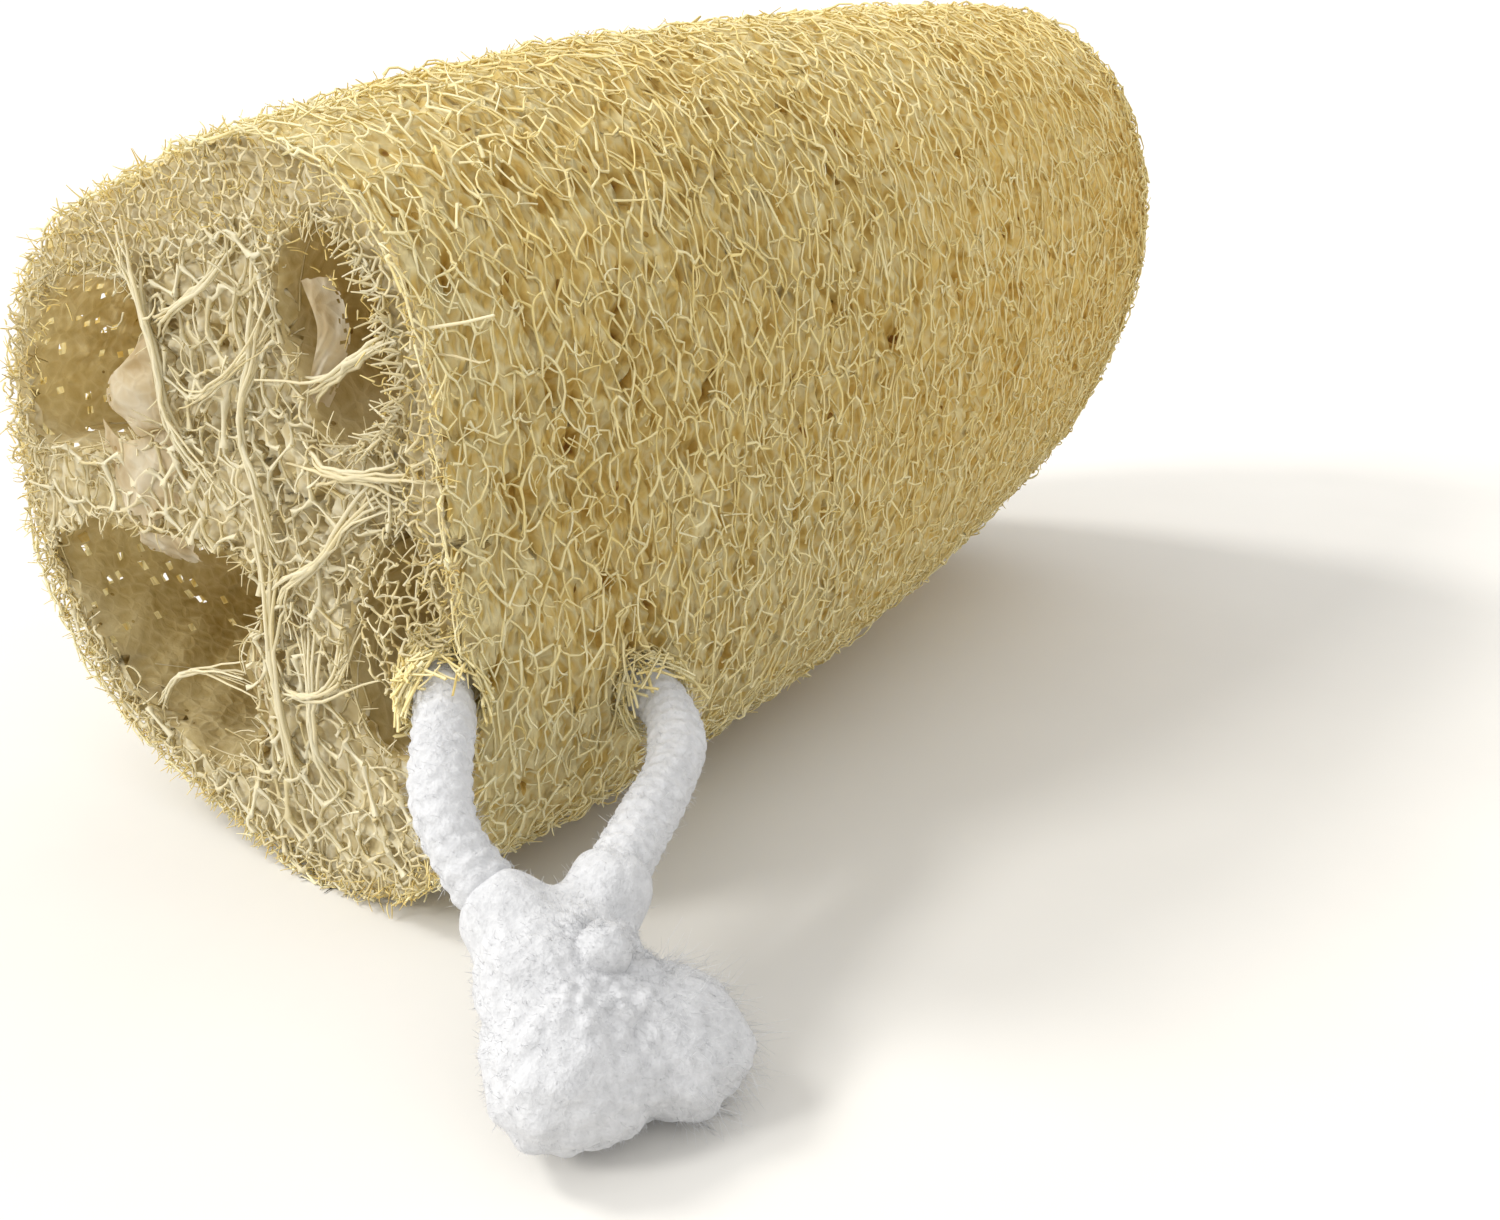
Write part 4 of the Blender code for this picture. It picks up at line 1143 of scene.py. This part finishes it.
def build_branches():
    """White branches of fine strands that run together in the middle and spread at both ends, and twigs."""
    draw = seeded("branches")
    lines, radii = [], []
    u = np.linspace(-1, 1, 16)[:, None]
    for path, radius in FACE_BUNDLES:
        path = np.array(path, float)
        line = spline(face_point(path[:, 0], path[:, 1], path[:, 2] * 0.9), 16)
        for _ in range(STRANDS):
            splay = draw.normal(size=3) * [0.4, 1, 1] * radius * (0.22 + 2.4 * np.abs(u) ** 2.5)
            lines.append(line + splay + draw.normal(0, 0.10, line.shape))
            radii.append(radius * draw.uniform(0.14, 0.30) * (1.05 - 0.6 * np.abs(u[:, 0])))
    tone = shades(draw, 0.88, 0.08, len(lines))
    tubes("sponge_face_branches", np.array(lines), np.array(radii), FACE_FIBRE, tone, draw, sides=5)

    angle, share = draw.uniform(0, FULL_TURN, TWIGS), np.sqrt(draw.uniform(0, 0.75, TWIGS))
    spot = body_point(np.zeros(TWIGS), angle, share)[:, 1:]
    spot = spot[outside(spot, curves)]
    each = (len(spot), 1)
    u = np.linspace(0, 1, 5)[None, :]
    heading = draw.uniform(0, FULL_TURN, each) + draw.normal(0, 0.9, each) * u
    along, across = strayed(heading, draw.uniform(1.5, 4.5, each))
    height = 0.4 + draw.normal(0, 0.6, each) + draw.normal(0, 0.8, each) * u
    lines = face_point(spot[:, :1] + along, spot[:, 1:] + across, height)
    radii = draw.uniform(0.10, 0.20, each) * (1 - 0.7 * u)
    tubes("sponge_face_twigs", lines, radii, FACE_FIBRE, shades(draw, 0.9, 0.08, len(spot)), draw)


# Dried membranes: one edge, the other edge, both as (y, z, height), and how much the sheet bellies out
MEMBRANES = {
    "upper_left_stub": ([(5.2, 51.5, -0.6), (4.8, 48, 0.2), (4.6, 45, 0.2), (5.6, 41.5, -0.8)],
                        [(8.5, 48.5, -1.8), (12.6, 46.4, -0.2), (13.4, 43.6, 0.0), (10.6, 40.6, -1.2)], 1.2),
    "between_left_chambers": (
        [(18.0, 41.2, -1.6), (12.4, 40.2, 0.0), (8.4, 40.8, 0.1), (4.2, 42.4, -1.2)],
        [(17.4, 34.6, -1.6), (12.8, 31.8, -0.4), (8.6, 32.2, -0.4), (3.6, 34.6, -1.4)], 0.3),
    "lower_left_curtain": (
        [(-8.0, 27, -0.4), (-6.4, 21.5, -0.2), (-7.6, 16.5, -0.2), (-5.0, 10.8, -0.6)],
        [(-5.6, 24.5, -5.0), (-3.4, 19.5, -7.0), (-3.8, 15, -7.0), (-1.6, 11.5, -5.0)], 0.8),
    "lower_left_flap": ([(2, 31.8, -0.3), (7, 31.6, 0.1), (12, 31.0, -0.3)],
                        [(4, 28.8, -2.4), (8, 27.9, -3.0), (12.5, 28.4, -2.4)], 0.5),
    "upper_right_ribbon": (
        [(-17.0, 57, -1.0), (-19.2, 53.5, -0.6), (-17.8, 50, -0.8), (-16.4, 46.8, -0.6)],
        [(-18.6, 57.4, -2.8), (-20.8, 53.6, -2.6), (-19.4, 49.6, -2.6), (-17.6, 46.2, -2.2)], 0.3),
}


MEMBRANE_ROWS = 34
MEMBRANE_COLUMNS = 18


def build_membranes():
    draw = seeded("membranes")
    u = np.linspace(0, 1, MEMBRANE_ROWS)[:, None, None]
    v = np.linspace(0, 1, MEMBRANE_COLUMNS)[None, :, None]
    for name, (first, second, belly) in MEMBRANES.items():
        a, b = (spline(face_point(*np.array(edge, float).T), MEMBRANE_ROWS) for edge in (first, second))
        grid = a[:, None] * (1 - v) + b[:, None] * v
        grid = grid + np.array([-1.0, 0, 0]) * belly * np.sin(math.pi * v)
        grid = grid + 0.25 * np.sin(19 * u + 5 * v) * np.sin(9 * v) * np.array([1.0, 0.4, 0.4])
        torn = np.clip((v[:, :-1, 0] - 0.72) * 1.6, 0, 1)
        whole = draw.random((MEMBRANE_ROWS - 1, MEMBRANE_COLUMNS - 1)) > torn
        tone = 0.5 + 0.35 * np.sin(7 * u[..., 0] + 3) * np.sin(5 * v[..., 0]) + 0.2 * v[..., 0]
        sheet_of(f"sponge_membrane_{name}", grid, MEMBRANE, keep=whole, tone=tone)


# Loose web over the lower right chamber's mouth, above the cord: centre (y, z), half sizes and its bulge
MOUTH_WEB = ((-29.0, 30.5), (6.0, 8.0), 1.8)
# Its layers: side, height, thickness and tone
MOUTH_WEB_LAYERS = [(1.0, 0.3, (0.12, 0.26), 0.72), (1.3, -0.9, (0.12, 0.3), 0.5)]


def build_mouth_web():
    draw = seeded("mouth")
    (cy, cz), (ry, rz), rise = MOUTH_WEB
    for n, (side, lift, thick, shade) in enumerate(MOUTH_WEB_LAYERS):
        x, y, links = comb(2 * ry, 2 * rz, side, 0.42, 0.16, draw)
        x, y = x - ry, y - rz
        share = np.hypot(x / ry, y / rz)
        links = links[(share[links] < 1).all(axis=1)]
        nodes = face_point(cy + x, cz + y, lift + rise * (1 - share ** 2) + draw.normal(0, 0.35, len(x)))
        lay_net(f"sponge_mouth_web_{n}", nodes, links, FACE_FIBRE, draw, 4, 0.2, thick, 0.45, shade, 0.12)


# Where fibres arch over the cord: the run of the cord's line, and how many there are
COLLARS = {"side": (24.6, 28.2, 150), "mouth": (48.0, 58.6, 420)}


def build_collars():
    draw = seeded("collars")
    along, side, above = frames_along(LINE)
    for name, (start, end, count) in COLLARS.items():
        each = (count, 1, 1)
        place = np.searchsorted(RUN, draw.uniform(start, end, count))
        u = np.linspace(0, 1, 6)[None, :, None]
        turn = draw.uniform(0, FULL_TURN, each) + draw.uniform(0.3, 1.2, each) * u
        reach = CORD_DIAMETER / 2 + 0.4 + draw.uniform(0, 1.1, each) + 1.2 * np.abs(u - 0.5) ** 2
        shift = draw.normal(0, 3.4, each) * (u - 0.5)
        lines = (LINE[place][:, None] + along[place][:, None] * shift
                 + reach * (side[place][:, None] * np.cos(turn) + above[place][:, None] * np.sin(turn)))
        radii = draw.uniform(0.10, 0.18, (count, 1)) * np.ones((1, 6))
        tubes(f"sponge_collar_{name}", lines, radii, SKIN_FIBRE, draw.normal(0.72, 0.12, count), draw)


build_skin()
build_dome()
build_wisps()
curves = [build_chamber(name, outline, depth, n)
          for n, (name, (outline, depth)) in enumerate(CHAMBERS.items())]
build_bed(curves)
build_face_nets(curves)
build_rim()
build_branches()
build_membranes()
build_mouth_web()
build_collars()


# Floor and light

FLOOR_SIZE = 6.0
FLOOR_SHADES = [(0.3, (0.665, 0.65, 0.618)), (0.7, (0.68, 0.665, 0.633))]


def build_floor():
    made, tree, shader = shader_of("floor_white", roughness=0.9, specular=0.1)
    tree.links.new(ramp(tree, noise(tree, 40.0), FLOOR_SHADES), shader.inputs["Base Color"])
    mesh = bpy.data.meshes.new("floor")
    corners = [(x * FLOOR_SIZE, y * FLOOR_SIZE, 0) for x, y in ((-1, -1), (1, -1), (1, 1), (-1, 1))]
    mesh.from_pydata(corners, [], [(0, 1, 2, 3)])
    mesh.materials.append(made)
    floor = added("floor", mesh)


# Suns: name, energy, size in degrees, and the way to it
SUNS = [("key", 1.5, 14, (-0.28, 0.64, 0.71)), ("low", 1.6, 14, (-0.76, 0.34, 0.55))]
SUN_COLOUR = (1.0, 0.985, 0.96)
WORLD_COLOUR = (1.0, 0.995, 0.985, 1)
WORLD_STRENGTH = 1.1


def build_light():
    world = bpy.data.worlds.new("studio")
    world.use_nodes = True
    background = world.node_tree.nodes["Background"]
    background.inputs["Color"].default_value = WORLD_COLOUR
    background.inputs["Strength"].default_value = WORLD_STRENGTH
    bpy.context.scene.world = world
    for name, energy, angle, towards in SUNS:
        data = bpy.data.lights.new(name, "SUN")
        data.energy = energy
        data.angle = math.radians(angle)
        data.color = SUN_COLOUR
        added(name, data).rotation_euler = Vector(towards).to_track_quat("Z", "Y").to_euler()


build_floor()
build_light()
bpy.context.scene.view_settings.view_transform = "Standard"
